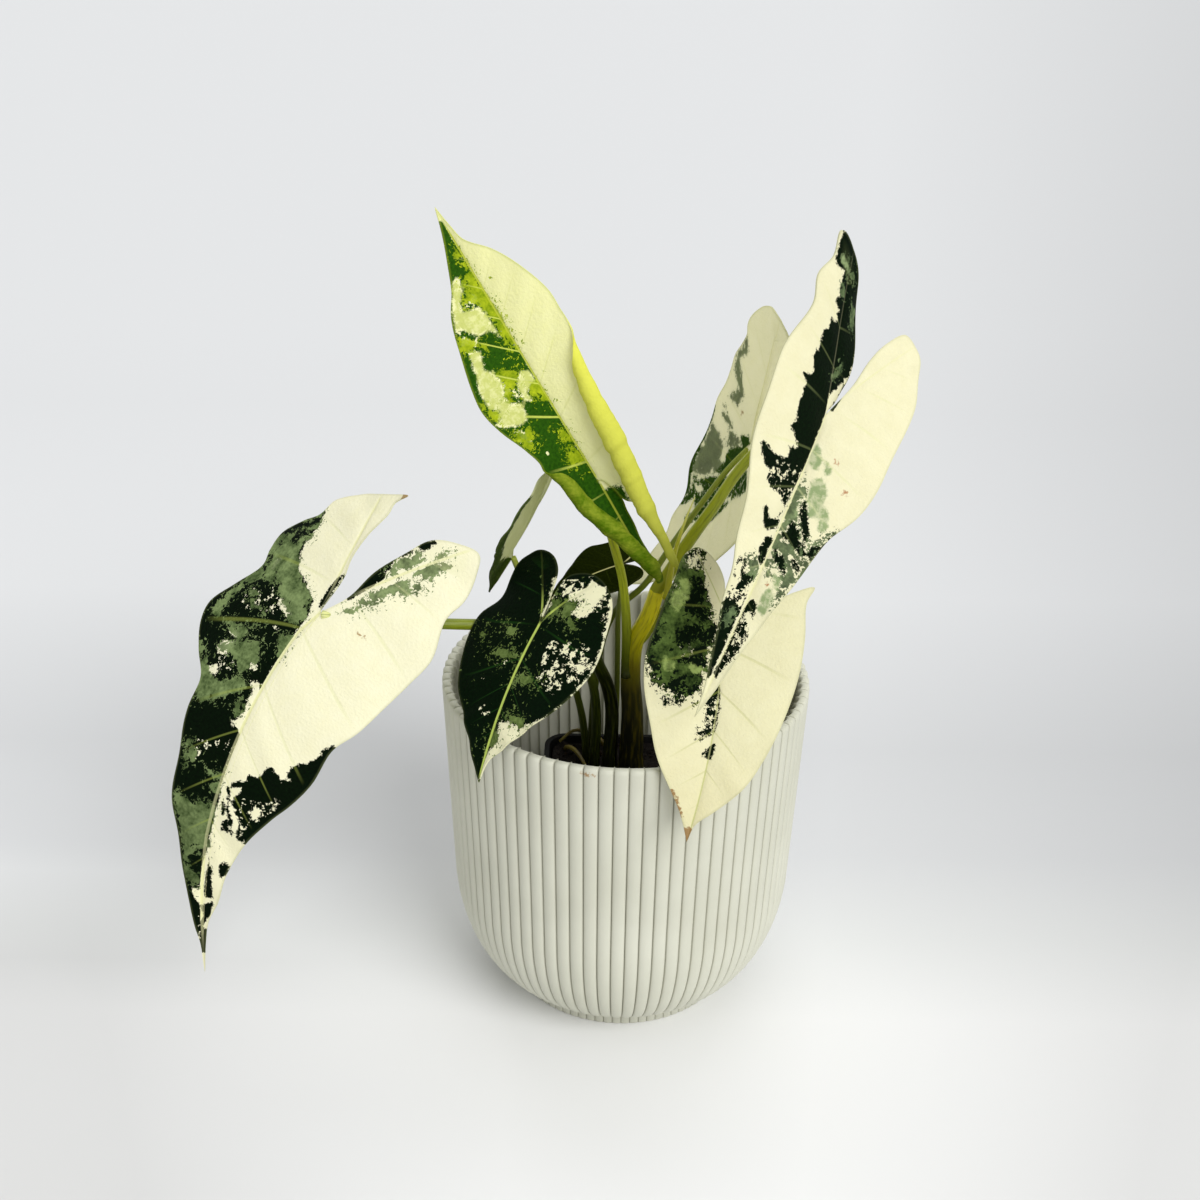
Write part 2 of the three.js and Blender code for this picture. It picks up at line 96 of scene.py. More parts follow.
def face_outwards():
    bpy.ops.object.mode_set(mode="EDIT")
    bpy.ops.mesh.select_all(action="SELECT")
    bpy.ops.mesh.normals_make_consistent(inside=False)
    bpy.ops.object.mode_set(mode="OBJECT")


def place(piece, material, slot, *nodes):
    """Gives a finished piece its material and its place in the object."""
    piece.data.materials.clear()
    piece.data.materials.append(material)
    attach(piece, "root")
    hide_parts(*nodes)


def side_radius(z):
    return RIM_RADIUS - TAPER * (RIM_HEIGHT - z)


def rounding(inner, outer, top, bottom, angles):
    """Profile points round the elliptical corner between a wall and a bottom."""
    return [(inner + (outer - inner) * math.cos(turn), top - (top - bottom) * math.sin(turn))
            for turn in map(math.radians, angles)]


def add_piece(name, points, faces):
    """A new mesh object at the origin, the only one selected."""
    mesh = bpy.data.meshes.new(name)
    mesh.from_pydata(points, [], faces)
    mesh.update()
    piece = bpy.data.objects.new(name, mesh)
    bpy.context.collection.objects.link(piece)
    deselect()
    piece.select_set(True)
    bpy.context.view_layer.objects.active = piece
    return piece


def set_field(mesh, key, values):
    mesh.attributes.new(key, "FLOAT", "POINT").data.foreach_set("value", values)


def ring_mesh(name, rings):
    """A closed skin through rings of points, each end closed to its own middle."""
    count, points = len(rings[0]), [p for ring in rings for p in ring]
    points += [tuple(np.mean(rings[end], axis=0)) for end in (0, -1)]
    first, last = len(points) - 2, len(points) - 1
    faces = [(i + j, i + (j + 1) % count, i + count + (j + 1) % count, i + count + j)
             for i in range(0, first - count, count) for j in range(count)]
    faces += [((j + 1) % count, j, first) for j in range(count)]
    faces += [(first - count + j, first - count + (j + 1) % count, last) for j in range(count)]
    return add_piece(name, points, faces)


pot_profile = [
    (FOOT_RADIUS - 4 * MM, FOOT_HEIGHT), (FOOT_RADIUS - 3.2 * MM, 0.6 * MM), (FOOT_RADIUS - 2.6 * MM, 0),
    (FOOT_RADIUS - 0.6 * MM, 0), (FOOT_RADIUS, 0.6 * MM), (FOOT_RADIUS, 4 * MM),
    *rounding(BOTTOM_RADIUS, side_radius(SHOULDER_HEIGHT), SHOULDER_HEIGHT, FOOT_HEIGHT, range(70, -1, -7)),
    *[(side_radius(z * MM), z * MM) for z in (66, 80, 94, 108, 120, 129, 133)],
    (RIM_RADIUS - 0.25 * MM, 134.5 * MM), (RIM_RADIUS - 0.9 * MM, RIM_HEIGHT),
    (RIM_RADIUS - WALL + 0.9 * MM, RIM_HEIGHT), (RIM_RADIUS - WALL + 0.2 * MM, 134.4 * MM),
    *[(side_radius(z * MM) - WALL, z * MM) for z in (132, 124, 112, 98, 84, 70, 60)],
    *rounding(FLOOR_RADIUS, side_radius(INNER_SHOULDER) - WALL, INNER_SHOULDER, FLOOR_HEIGHT,
              range(0, 91, 10))]

# the grooves are pressed into each ring of the profile, except under the foot and on the floor
rib = np.tile(RIB_POINTS, RIBS)
turned = (np.repeat(np.arange(RIBS), len(RIB_POINTS)) + rib) * 2 * math.pi / RIBS + FIRST_GROOVE
pot_rings = []
for across, z in pot_profile:
    fade = np.clip((z / MM - 3.9) / 2.2, 0, 1) * np.clip((across / MM - 41.5) / 6, 0, 1)
    fade = np.maximum(fade, 0.55 * np.clip((across / MM - 43.6) / 1.2, 0, 1))
    fluted = across - RIB_DEPTH * (1 - np.sin(math.pi * rib) ** 0.3) * fade
    scallop = 0.75 * MM * np.clip((z / MM - 133.6) / 1.4, 0, 1) * (1 - np.sin(math.pi * rib) ** 0.6)
    pot_rings.append(np.stack([np.sin(turned) * fluted, -np.cos(turned) * fluted, z - scallop], 1).tolist())
pot = ring_mesh("ribbed_cover_pot", pot_rings)
face_outwards()
bpy.ops.object.shade_smooth()

# Polypropylene from a fine-sparked mould: an even, dead matt, warm grey-white that only glows softly
# where the light grazes it, with painted shade in the grooves and one smear at the rim.
pot_plastic, tree = new_material("moulded polypropylene, warm grey")
where = node(tree, "TexCoord").outputs["Object"]
grain = node(tree, "TexNoise", {"Vector": where, "Scale": 900, "Detail": 3})
cloud = node(tree, "TexNoise", {"Vector": where, "Scale": 28, "Detail": 4})
tone = node(tree, "ValToRGB", [cloud], [(0.3, "#c1c1b1"), (0.7, "#cbcbbc")])
smear_place = node(tree, "Mapping", {"Vector": where, "Scale": SMEAR_SCALE,
                                     "Location": [-at * scale for at, scale in zip(SMEAR_AT, SMEAR_SCALE)]})
smear_ball = node(tree, "TexGradient", [smear_place], gradient_type="SPHERICAL").outputs["Fac"]
smear_noise = node(tree, "TexNoise", {"Vector": where, "Scale": 750, "Detail": 2})
smear = node(tree, "Math", [smear_ball, smear_noise], operation="MULTIPLY")
smear = node(tree, "MapRange", [smear, 0.36, 0.46])
smear_and_groove_shade = node(tree, "Mix", {"Factor": smear, "A": tone, "B": "#a08560"}, data_type="RGBA")
# painted shade: each groove is drawn as a thin grey line, darkening the recess where shade falls
spot = node(tree, "SeparateXYZ", [where]).outputs
bearing = node(tree, "Math", [spot["Y"], spot["X"]], operation="ARCTAN2")
ribs_round = node(tree, "Math", [bearing, RIBS / (2 * math.pi), RIBS * (0.25 - FIRST_GROOVE / (2 * math.pi))],
                  operation="MULTIPLY_ADD")
off_groove = node(tree, "Math", [ribs_round, 0.5], operation="PINGPONG")
groove_shade = node(tree, "MapRange", [off_groove, 0.02, 0.085, 0.55, 0])
# painted shade in the grooves laid over the tone and the smear
smear_and_groove_shade = node(tree, "Mix", {"Factor": groove_shade, "A": smear_and_groove_shade, "B": "#8b8a76"}, data_type="RGBA")
fine = node(tree, "Bump", {"Height": grain, "Strength": 0.25, "Distance": 0.08 * MM})
shell = node(tree, "BsdfPrincipled", {"Base Color": smear_and_groove_shade, "Roughness": 0.58, "Specular IOR Level": 0.4,
                                      "IOR": 1.49, "Normal": fine})
node(tree, "OutputMaterial", [shell])
place(pot, pot_plastic, "cover_pot_plastic", "cover_pot")

# ---- Nursery pot ----------------------------------------------------------------------------------
# The plant's own thin square pot, vacuum-formed black polypropylene with a rolled lip; it stands
# loose and a little off centre in the cover pot, so only its lip and upper wall show.

POT_CENTRE = (6, -5)  # mm
SQUARE_RINGS = ((25, 8.35, 7), (26, 8.45, 8), (37, 82, 8), (37, 82.1, 8), (38, 82.4, 8.5), (38, 86, 8.5),
                (37.7, 86.35, 8.3), (36, 86.35, 7.4), (35.8, 86, 7.2), (35.4, 80, 7), (33.4, 60, 7),
                (25, 12, 6), (24.5, 9.6, 6))  # half width, height, corner radius in mm


def in_pot(x, y, z):
    return (POT_CENTRE[0] + x) * MM, (POT_CENTRE[1] + y) * MM, z * MM


def rounded_square(half, corner, steps):
    """Points round a square with arcs for corners, the same number for any size."""
    points = []
    for start in (0, 90, 180, 270):
        middle = math.radians(start + 45)
        for i in range(steps + 1):
            turn = math.radians(start + 90 * i / steps)
            points.append(((half - corner) * math.cos(middle) * math.sqrt(2) + corner * math.cos(turn),
                           (half - corner) * math.sin(middle) * math.sqrt(2) + corner * math.sin(turn)))
    return points


nursery = ring_mesh("square_nursery_pot", [[in_pot(x, y, z) for x, y in rounded_square(half, corner, 8)]
                                           for half, z, corner in SQUARE_RINGS])
bpy.ops.object.shade_smooth_by_angle(angle=math.radians(35))

# Black recycled polypropylene, calendered and pressed thin: satin, with paler scuffs strewn all over it.
black_plastic, tree = new_material("pressed black polypropylene")
where = node(tree, "TexCoord").outputs["Object"]
scuff = node(tree, "TexNoise", {"Vector": where, "Scale": 260, "Detail": 5, "Roughness": 0.7})
tone = node(tree, "ValToRGB", [scuff], [(0.52, "#060606"), (0.75, "#15120f")])
rough = node(tree, "MapRange", [scuff, 0, 1, 0.5, 0.75])
dents = node(tree, "Bump", {"Height": scuff, "Strength": 0.3, "Distance": 0.2 * MM})
film = node(tree, "BsdfPrincipled", {"Base Color": tone, "Roughness": rough, "Specular IOR Level": 0.25,
                                     "IOR": 1.49, "Normal": dents})
node(tree, "OutputMaterial", [film])
place(nursery, black_plastic, "nursery_pot_plastic", "nursery_pot")

# ---- Potting soil ---------------------------------------------------------------------------------
# The root ball in a dark peat and bark mix, filled to just below the lip and never pressed flat:
# a crumbly top with loose crumbs and bark chips, and a plain block below that nobody sees.

SOIL_TOP, SOIL_HALF, SOIL_CORNER = 84.05, 34.7, 6  # mean height, half width and corner radius in mm
CRUMBS = 620
chance = np.random.default_rng(11)


def soil_height(x, y):
    """Height in mm of the uneven top of the soil."""
    return SOIL_TOP + (0.55 * math.sin(x * 0.31 + 1.3) * math.cos(y * 0.27)
                       + 0.4 * math.sin(x * 0.83 + y * 0.62) + 0.3 * math.sin(y * 1.21 - x * 0.94) - 0.6)


soil_rings = [[in_pot(x, y, z) for x, y in rounded_square(half, SOIL_CORNER, 10)]
              for half, z in ((22.9, 14.2), (23.4, 14.8), (34.6, 81.6))]
for inward in (1, 0.985, 0.95, 0.9, *np.arange(0.82, 0.1, -0.08), 0.1, 0.04):
    square = np.multiply(rounded_square(SOIL_HALF, SOIL_CORNER, 10), inward)
    soil_rings.append([in_pot(x, y, soil_height(x, y)) for x, y in square])
soil = ring_mesh("potting_soil", soil_rings)
crumbs = []
for i in range(CRUMBS):  # flattened grains of peat, every ninth one large and every seventh one of bark
    x, y = chance.uniform(-33.6, 33.6, 2)
    size = chance.uniform(0.5, 1.5) if i % 9 else chance.uniform(1.5, 2.6)
    flat = chance.uniform(0.35, 0.8, 3)
    flat[chance.integers(0, 2)] *= 1.5
    bpy.ops.mesh.primitive_ico_sphere_add(subdivisions=1, radius=size * MM)
    crumb = bpy.context.object
    turned = Matrix.Rotation(chance.uniform(0, 6.3), 4, "Z")
    tilted = Matrix.Rotation(chance.uniform(-0.5, 0.5), 4, "X")
    rest = Matrix.Translation(in_pot(x, y, soil_height(x, y) + 0.25 * size))
    crumb.data.transform(rest @ turned @ tilted @ Matrix.Diagonal((*flat, 1)))
    chip = 0.08 if i % 7 else float(chance.uniform(0.2, 1.0))
    set_field(crumb.data, "chip", [chip] * len(crumb.data.vertices))
    crumbs.append(crumb)
for piece in [soil] + crumbs:
    piece.select_set(True)
bpy.context.view_layer.objects.active = soil
bpy.ops.object.join()
soil.data.name = soil.name

# Damp peat: nearly black and dull, breaking into brown where a bark chip or a dry crumb lies on top.
peat, tree = new_material("damp peat and bark mix")
where = node(tree, "TexCoord").outputs["Object"]
lumps = node(tree, "TexNoise", {"Vector": where, "Scale": 700, "Detail": 6, "Roughness": 0.75})
tone = node(tree, "ValToRGB", [lumps], [(0.35, "#060403"), (0.8, "#1f150c")])
chip = node(tree, "Attribute", attribute_name="chip").outputs["Fac"]
chipped = node(tree, "MapRange", [chip, 0.1, 1, 0, 0.75])
mixed = node(tree, "Mix", {"Factor": chipped, "A": tone, "B": "#33220f"}, data_type="RGBA")
rise = node(tree, "Bump", {"Height": lumps, "Strength": 0.8, "Distance": 0.6 * MM})
earth = node(tree, "BsdfPrincipled", {"Base Color": mixed, "Roughness": 0.9, "Specular IOR Level": 0.25,
                                      "Normal": rise})
node(tree, "OutputMaterial", [earth])
place(soil, peat, "potting_soil", "soil")

# ---- Stem, leaf stalks, new leaf and aerial roots ----------------------------------------------------
# The living stalks. Each leaf stalk leaves the sheathed stem low down, stands up and arches out to the
# middle of its blade; the youngest leaf is still a furled spike, and two roots run over the soil.

SOIL_LEVEL = 84.4  # height in mm where a stalk comes out of the soil
STALK_SIDES, STALK_STEP = 20, 1.5
BASE_FLARE = 14  # mm over which a stalk's foot widens


def between(p, q, start, end, t):
    return (end - t) / (end - start) * p + (t - start) / (end - start) * q


def lengths_along(line):
    return np.concatenate([[0], np.cumsum(np.linalg.norm(np.diff(line, axis=0), axis=1))])


def smooth_line(points, step):
    """A centripetal Catmull-Rom curve through the points, as evenly spaced points."""
    p = np.array(points, float)
    p = np.vstack([2 * p[0] - p[1], p, 2 * p[-1] - p[-2]])
    knots = [max(np.linalg.norm(q1 - q0), 1e-6) ** 0.5 for q0, q1 in zip(p, p[1:])]
    line = []
    for i in range(1, len(p) - 2):
        p0, p1, p2, p3 = p[i - 1:i + 3]
        t1, t2, t3 = np.cumsum(knots[i - 1:i + 2])
        for t in np.linspace(t1, t2, 12, endpoint=False):
            a1, a2, a3 = between(p0, p1, 0, t1, t), between(p1, p2, t1, t2, t), between(p2, p3, t2, t3, t)
            line.append(between(between(a1, a2, 0, t2, t), between(a2, a3, t1, t3, t), t1, t2, t))
    line = np.array(line + [p[-2]])
    run = lengths_along(line)
    even = np.linspace(0, run[-1], max(3, int(round(run[-1] / step)) + 1))
    return np.stack([np.interp(even, run, values) for values in line.T], 1)


def stalk(name, path, radius, top, flute=0.05, ridges=7, base=1.0, channel=0.0):
    """A tapering stalk along a path in mm, with lengthwise ridges, a channel above and rounded ends."""
    line = smooth_line(path, STALK_STEP)
    run = lengths_along(line)
    ahead = np.gradient(line, axis=0)
    ahead /= np.linalg.norm(ahead, axis=1)[:, None]
    side = np.cross(ahead[0], (0.3, -1.0, 0.1))
    turn = np.linspace(0, 2 * math.pi, STALK_SIDES, endpoint=False)
    rounded_ends = {0: [(0.35, -0.28), (0.75, -0.12), (1, 0)],
                    len(line) - 1: [(1, 0), (0.75, 0.12), (0.35, 0.28)]}
    rings, along = [], []
    for i, (centre, tangent) in enumerate(zip(line, ahead)):
        side = side - tangent * side.dot(tangent)
        side /= np.linalg.norm(side)
        up = np.cross(tangent, side)
        t = run[i] / run[-1]
        wide = radius * (1 + (top - 1) * t) * (1 + (base - 1) * max(0, 1 - run[i] / BASE_FLARE) ** 2)
        ripple = 1 + flute * np.sin(turn * ridges + 0.8 * t) * (0.6 + 0.4 * math.sin(run[i] * 0.11))
        ripple = ripple - channel * np.exp(-(np.minimum(turn, 2 * math.pi - turn) / 0.45) ** 2)
        for scale, slip in rounded_ends.get(i, [(1, 0)]):
            ring = centre + tangent * slip * wide + wide * scale * ripple[:, None] * (
                np.cos(turn)[:, None] * up + np.sin(turn)[:, None] * side)
            rings.append([tuple(q * MM) for q in ring])
            along.append(run[i])
    piece = ring_mesh(name, rings)
    face_outwards()
    bpy.ops.object.shade_smooth()
    lengthwise = np.concatenate([np.repeat(along, STALK_SIDES), [along[0], along[-1]]])
    for key, values in (("along", lengthwise / run[-1]), ("length_mm", lengthwise),
                        ("around_x", np.append(np.tile(np.cos(turn), len(rings)), [0, 0])),
                        ("around_y", np.append(np.tile(np.sin(turn), len(rings)), [0, 0]))):
        set_field(piece.data, key, values)
    return piece


def stalk_skin(name, stops, streak="#5f6a10", mottle="#2b2a10", mottled=0.0):
    """Smooth waxy skin that changes colour along the stalk, with fine lengthwise streaks."""
    material, tree = new_material(name)
    along, round_x, round_y, length = [node(tree, "Attribute", attribute_name=key).outputs["Fac"]
                                       for key in ("along", "around_x", "around_y", "length_mm")]
    slow = node(tree, "Math", [length, 0.035], operation="MULTIPLY")
    lengthwise = node(tree, "CombineXYZ", [round_x, round_y, slow])
    streaks = node(tree, "TexNoise", {"Vector": lengthwise, "Scale": 3.2, "Detail": 4})
    where = node(tree, "TexCoord").outputs["Object"]
    spots = node(tree, "TexNoise", {"Vector": where, "Scale": 420, "Detail": 3})
    # the colour stops run from the foot of the stalk to its end; stalks that come out of the soil are darker
    # towards their foot
    tone_along_stalk = node(tree, "ValToRGB", [along], stops)
    streaked = node(tree, "MapRange", [streaks, 0.47, 0.68, 0, 0.55])
    skin = node(tree, "Mix", {"Factor": streaked, "A": tone_along_stalk, "B": streak}, data_type="RGBA")
    low = node(tree, "MapRange", [along, 0, 0.55, mottled, 0])
    spotted = node(tree, "MapRange", [spots, 0.5, 0.62])
    spotted = node(tree, "Math", [spotted, low], operation="MULTIPLY")
    skin = node(tree, "Mix", {"Factor": spotted, "A": skin, "B": mottle}, data_type="RGBA")
    rib = node(tree, "Bump", {"Height": streaks, "Strength": 0.35, "Distance": 0.4 * MM})
    surface = node(tree, "BsdfPrincipled", {
        "Base Color": skin, "Roughness": 0.42, "Specular IOR Level": 0.42, "IOR": 1.42, "Normal": rib,
        "Subsurface Weight": 0.12, "Subsurface Radius": (2 * MM, 1.6 * MM, 0.4 * MM), "Subsurface Scale": 1})
    node(tree, "OutputMaterial", [surface])
    return material


def from_soil(x, y):
    return [[x, y, SOIL_LEVEL - 2.2], [x, y, SOIL_LEVEL + 4]]


# name, CAD node, path, radius, width at the top, colours from the base up, amount of dark mottling
STALKS = [
    ("sheathed_stem", "stem", from_soil(3, 8) + [
        [3, 7, 113], [2, 6, 129], [3, 4, 145], [8, 2, 158], [11, 0, 170]],
     5.0, 0.56, ((0, "#12130a"), (0.3, "#17190a"), (0.46, "#36340b"), (0.6, "#847c10"), (0.73, "#d6ce18"),
                 (0.86, "#f6ea24"), (1, "#f0e628")), 0.35),
    ("stalk_of_large_left_leaf", "petiole_a", from_soil(-5.5, 9.5) + [
        [-5, 9, 113], [-7, 7, 125], [-10, 4, 134], [-14, -2, 146], [-24, -9, 155], [-35, -13, 161],
        [-58, -18.5, 164], [-81, -26, 168.5], [-99, -29.5, 172], [-108.6, -30.1, 173.2]],
     2.9, 0.55, ((0, "#0c1004"), (0.25, "#141c06"), (0.42, "#3c4a0a"), (0.6, "#6e7a0e"), (0.93, "#7f8a12"),
                 (1, "#dfe29a")), 0.5),
    ("stalk_of_small_back_leaf", "petiole_b", from_soil(-15, 15) + [
        [-17, 14, 108], [-23, 13, 130], [-32, 11, 150], [-38.5, 9, 166], [-43, 8.2, 178.6]],
     1.5, 0.75, ((0, "#161c06"), (0.5, "#4c5a10"), (1, "#a3ae45")), 0.2),
    ("stalk_of_small_dark_leaf", "petiole_c", from_soil(-11.5, 11) + [
        [-11, 8, 108], [-12, 4, 124], [-15, -4, 139], [-19, -14, 153], [-25, -25, 166], [-30.4, -34, 173.2]],
     2.1, 0.6, ((0, "#12180a"), (0.35, "#2c390c"), (1, "#8d9a34")), 0.3),
    ("stalk_of_rolled_leaf", "petiole_d", [
        [0, 2, 131], [0, 3, 134], [0, 1.5, 150], [-1, 2, 165], [-2.5, 3, 175], [-6, 4, 188], [-9, 2, 200],
        [-11.9, -5.2, 216.4]],
     1.9, 0.75, ((0, "#2c310a"), (0.12, "#6c7810"), (0.4, "#b4be1c"), (1, "#ccd232")), 0.1),
    ("stalk_of_tall_right_leaf", "petiole_e", [
        [10.4, 0.3, 168], [11.2, -0.1, 171], [14.5, -1, 176.5], [21, -1, 189], [30, -2, 204.5],
        [37.5, -3, 218], [45, -5, 229], [54, -8, 238], [61, -11, 242], [65.3, -12.7, 243.4]],
     2.6, 0.6, ((0, "#a5a81c"), (0.4, "#9aa31a"), (1, "#9fa823")), 0.0),
    ("stalk_of_front_leaf", "petiole_f", [
        [5, 4, 146], [7, 5, 148], [12, 6, 156], [19, 2, 164], [26, -8, 171], [31, -20, 176],
        [33, -31, 177.6]],
     1.9, 0.7, ((0, "#8f9414"), (1, "#a6ac2c")), 0.0),
    ("stalk_of_back_leaf", "petiole_h", from_soil(-13, 24) + [
        [-12, 25, 110], [-9, 27.5, 133], [-4, 28, 146.5], [7, 28, 158], [17, 30, 174], [28, 34, 190],
        [38, 38, 203], [45.4, 40.8, 210.4]],
     1.5, 0.7, ((0, "#1c2308"), (0.5, "#66731a"), (1, "#9aa63a")), 0.2),
    ("stalk_of_lowest_leaf", "petiole_j", from_soil(-4, 19) + [
        [-3, 21, 110], [-3, 22.5, 130], [-3, 24.5, 148], [-2, 27.5, 159], [-2, 28.4, 165.8]],
     1.2, 0.8, ((0, "#1c2308"), (1, "#707c24")), 0.2),
]
for name, cad_node, path, radius, top, stops, mottled in STALKS:
    skin = stalk_skin(name.replace("_", " ") + ", waxy living skin", stops, mottled=mottled,
                      streak="#6d6208" if cad_node == "stem" else "#5f6a10")
    flare = 1.1 if path[0][2] < SOIL_LEVEL else 1.0
    place(stalk(name, path, radius, top, base=flare, channel=0.1), skin, "stalk_tissue", cad_node)

# A leaf still rolled tight in its sheath: a smooth pale spike, greener where the light has reached it.
spike_skin = stalk_skin("furled young leaf, waxy", ((0, "#b9b723"), (0.6, "#c3c23a"), (1, "#d9d98c")),
                        streak="#8b8f1c")
spike = stalk("furled_new_leaf", [[14.2, -3.9, 168.5], [14.5, -4.2, 170], [15.2, -5.1, 178], [17, -6.3, 190],
                                  [20, -7.5, 202], [23, -7.5, 211]], 1.5, 0.12, flute=0.03)
place(spike, spike_skin, "stalk_tissue", "new_leaf_spike")

# Aerial roots have a dull corky skin, yellow where young and brown at the knots.
root_skin = stalk_skin(
    "young corky root skin", ((0, "#5d5220"), (0.3, "#7f7330"), (0.55, "#564a18"), (1, "#6f672a")),
    streak="#5c4a1a", mottle="#4a3a18", mottled=0.5)
for name, cad_node, path in (
        ("aerial_root_left", "aerial_root_1",
         [[-8, 27, 84.6], [-8.4, 27.2, 86], [-14, 29, 89], [-20, 30, 89.5], [-26, 28, 85.4]]),
        ("aerial_root_front", "aerial_root_2",
         [[-23.6, 23.6, 84.4], [-23, 23, 85.8], [-20, 18, 88], [-16, 9, 88], [-13, 2, 85]])):
    place(stalk(name, path, 0.95, 0.6, flute=0.09, ridges=5), root_skin, "root_tissue", cad_node)

# ---- Leaf blades -----------------------------------------------------------------------------------
# Eight arrow-shaped velvety blades, each hung from its stalk at the notch between two back lobes.
# The tissue bulges between the side veins, and cream sectors without green run through the dark green.

BLADE_THICKNESS = 0.55  # this and all other lengths of a blade are in mm
BLADE_STEP = 0.95  # distance between the points of a blade
BEND_STEPS = 24  # straight steps in which the midrib's bend is summed up
RIB_BAND = 1.75  # half width of the strip of denser points along a rib
FIELD_REACH = 6.0  # how far from a sector's border its distance is still told
FIELDS = ("vein", "spine", "edge", "dark", "grey", "pale", "speckle", "scar")


def blade_frame(heading, pitch, roll):
    """Unit vectors of a blade: towards its tip, out of its upper face, and to its right."""
    az, el, ro = (math.radians(a) for a in (heading, pitch, roll))
    tip = np.array([math.cos(el) * math.cos(az), math.cos(el) * math.sin(az), math.sin(el)])
    up = np.array([-math.sin(el) * math.cos(az), -math.sin(el) * math.sin(az), math.cos(el)])
    up = up * math.cos(ro) + np.cross(tip, up) * math.sin(ro)
    return tip, up, np.cross(tip, up)


def blade_place(leaf, side, u, v):
    """Where a point of the flat blade (mm to the right, mm towards the tip) lies in the drooping leaf."""
    length = leaf["length"]
    tip, up, right = blade_frame(*leaf["turned"])
    droop, sweep, twist = np.radians(leaf["bend"])
    # the midrib bends down and sideways evenly along its length
    s = v[:, None] * np.linspace(0, 1, BEND_STEPS + 1)
    pitch = np.where(s >= 0, -droop * s / length, 0)
    yaw = sweep * np.maximum(s, 0) / length
    t = np.stack([np.sin(yaw) * np.cos(pitch), np.cos(yaw) * np.cos(pitch), np.sin(pitch)], -1)
    along = (t[:, :-1] + t[:, 1:]).sum(1) / (2 * BEND_STEPS) * v[:, None]
    yaw, t = yaw[:, -1], t[:, -1]
    r = np.stack([np.cos(yaw), -np.sin(yaw), 0 * yaw], -1)
    n = np.cross(r, t)
    turn = (twist * v / length)[:, None]
    r, n = r * np.cos(turn) + n * np.sin(turn), n * np.cos(turn) - r * np.sin(turn)
    # each half folds up at the midrib, curls evenly across, and may roll in at its margin
    first, last = leaf["fold"][side > 0]
    fold = np.radians(first + (last - first) * np.clip(v / length, -0.4, 1))
    k = np.radians(leaf["curl"]) / 10
    d = side * u
    flat, arc, radius = d, 0 * d, np.ones(len(d))
    if side in leaf.get("rolls", {}):
        start, width = (np.interp(v, *np.reshape(line, (-1, 2)).T) for line in leaf["rolls"][side])
        radius = np.maximum(width, 0.3) * (1 + 0.05 * np.sin(0.8 * v) * np.sin(0.13 * v + 1)
                                           + 0.03 * np.sin(1.7 * v) * np.sin(0.3 * v))
        flat, arc = np.minimum(d, start), np.maximum(d - start, 0)
    edge = fold + k * flat
    x = (np.sin(edge) - np.sin(fold)) / k + radius * (np.sin(edge + arc / radius) - np.sin(edge))
    h = (np.cos(fold) - np.cos(edge)) / k - radius * (np.cos(edge + arc / radius) - np.cos(edge))
    local = along + (side * x)[:, None] * r + h[:, None] * n
    return np.array(leaf["seat"]) + local[:, :1] * right + local[:, 1:2] * tip + local[:, 2:] * up


def inside_distance(points, outline):
    """Distance in mm to a closed outline, positive inside it."""
    a = np.reshape(outline, (-1, 2)).astype(float)
    x, y = points.T
    best, inside = np.full(len(points), 1e9), np.zeros(len(points), bool)
    for (ax, ay), (bx, by) in zip(a, np.roll(a, -1, axis=0)):
        dx, dy = bx - ax, by - ay
        t = np.clip(((x - ax) * dx + (y - ay) * dy) / max(dx * dx + dy * dy, 1e-12), 0, 1)
        best = np.minimum(best, np.hypot(x - ax - t * dx, y - ay - t * dy))
        if dy:
            inside ^= ((ay > y) != (by > y)) & (x < ax + (y - ay) * dx / dy)
    return np.where(inside, best, -best)


def sector(leaf, key, points):
    """Distance into the leaf's sectors of one kind, positive inside any of them."""
    field = np.full(len(points), -FIELD_REACH)
    for outline in leaf.get(key, []):
        field = np.maximum(field, inside_distance(points, outline))
    return np.minimum(field, FIELD_REACH)


def main_rib(leaf, side, v):
    """How far outwards the rib of a back lobe has run at v; ahead of the stalk it is the midrib's bow."""
    out, back = leaf["lobe_ribs"][side > 0]
    bow = side * leaf.get("rib_bow", 0) * np.clip(v / 9, 0, 1) * np.clip((leaf["length"] - v) / 40, 0, 1)
    return np.where(v < 0, out * np.clip(v / back, 0, None) ** 1.2, bow)


def vein_start(leaf, side, u, v):
    """The v at which the side vein through a point leaves the main rib, and the way out from that rib."""
    out = side * u - main_rib(leaf, side, v)
    start = v.copy()
    for _ in range(6):
        slope = np.clip(leaf["vein_lean"] + 1.9 * start / leaf["length"], -0.75, 0.85)
        start = v - slope * np.abs(out) - 0.0028 * out ** 2
    return start, out


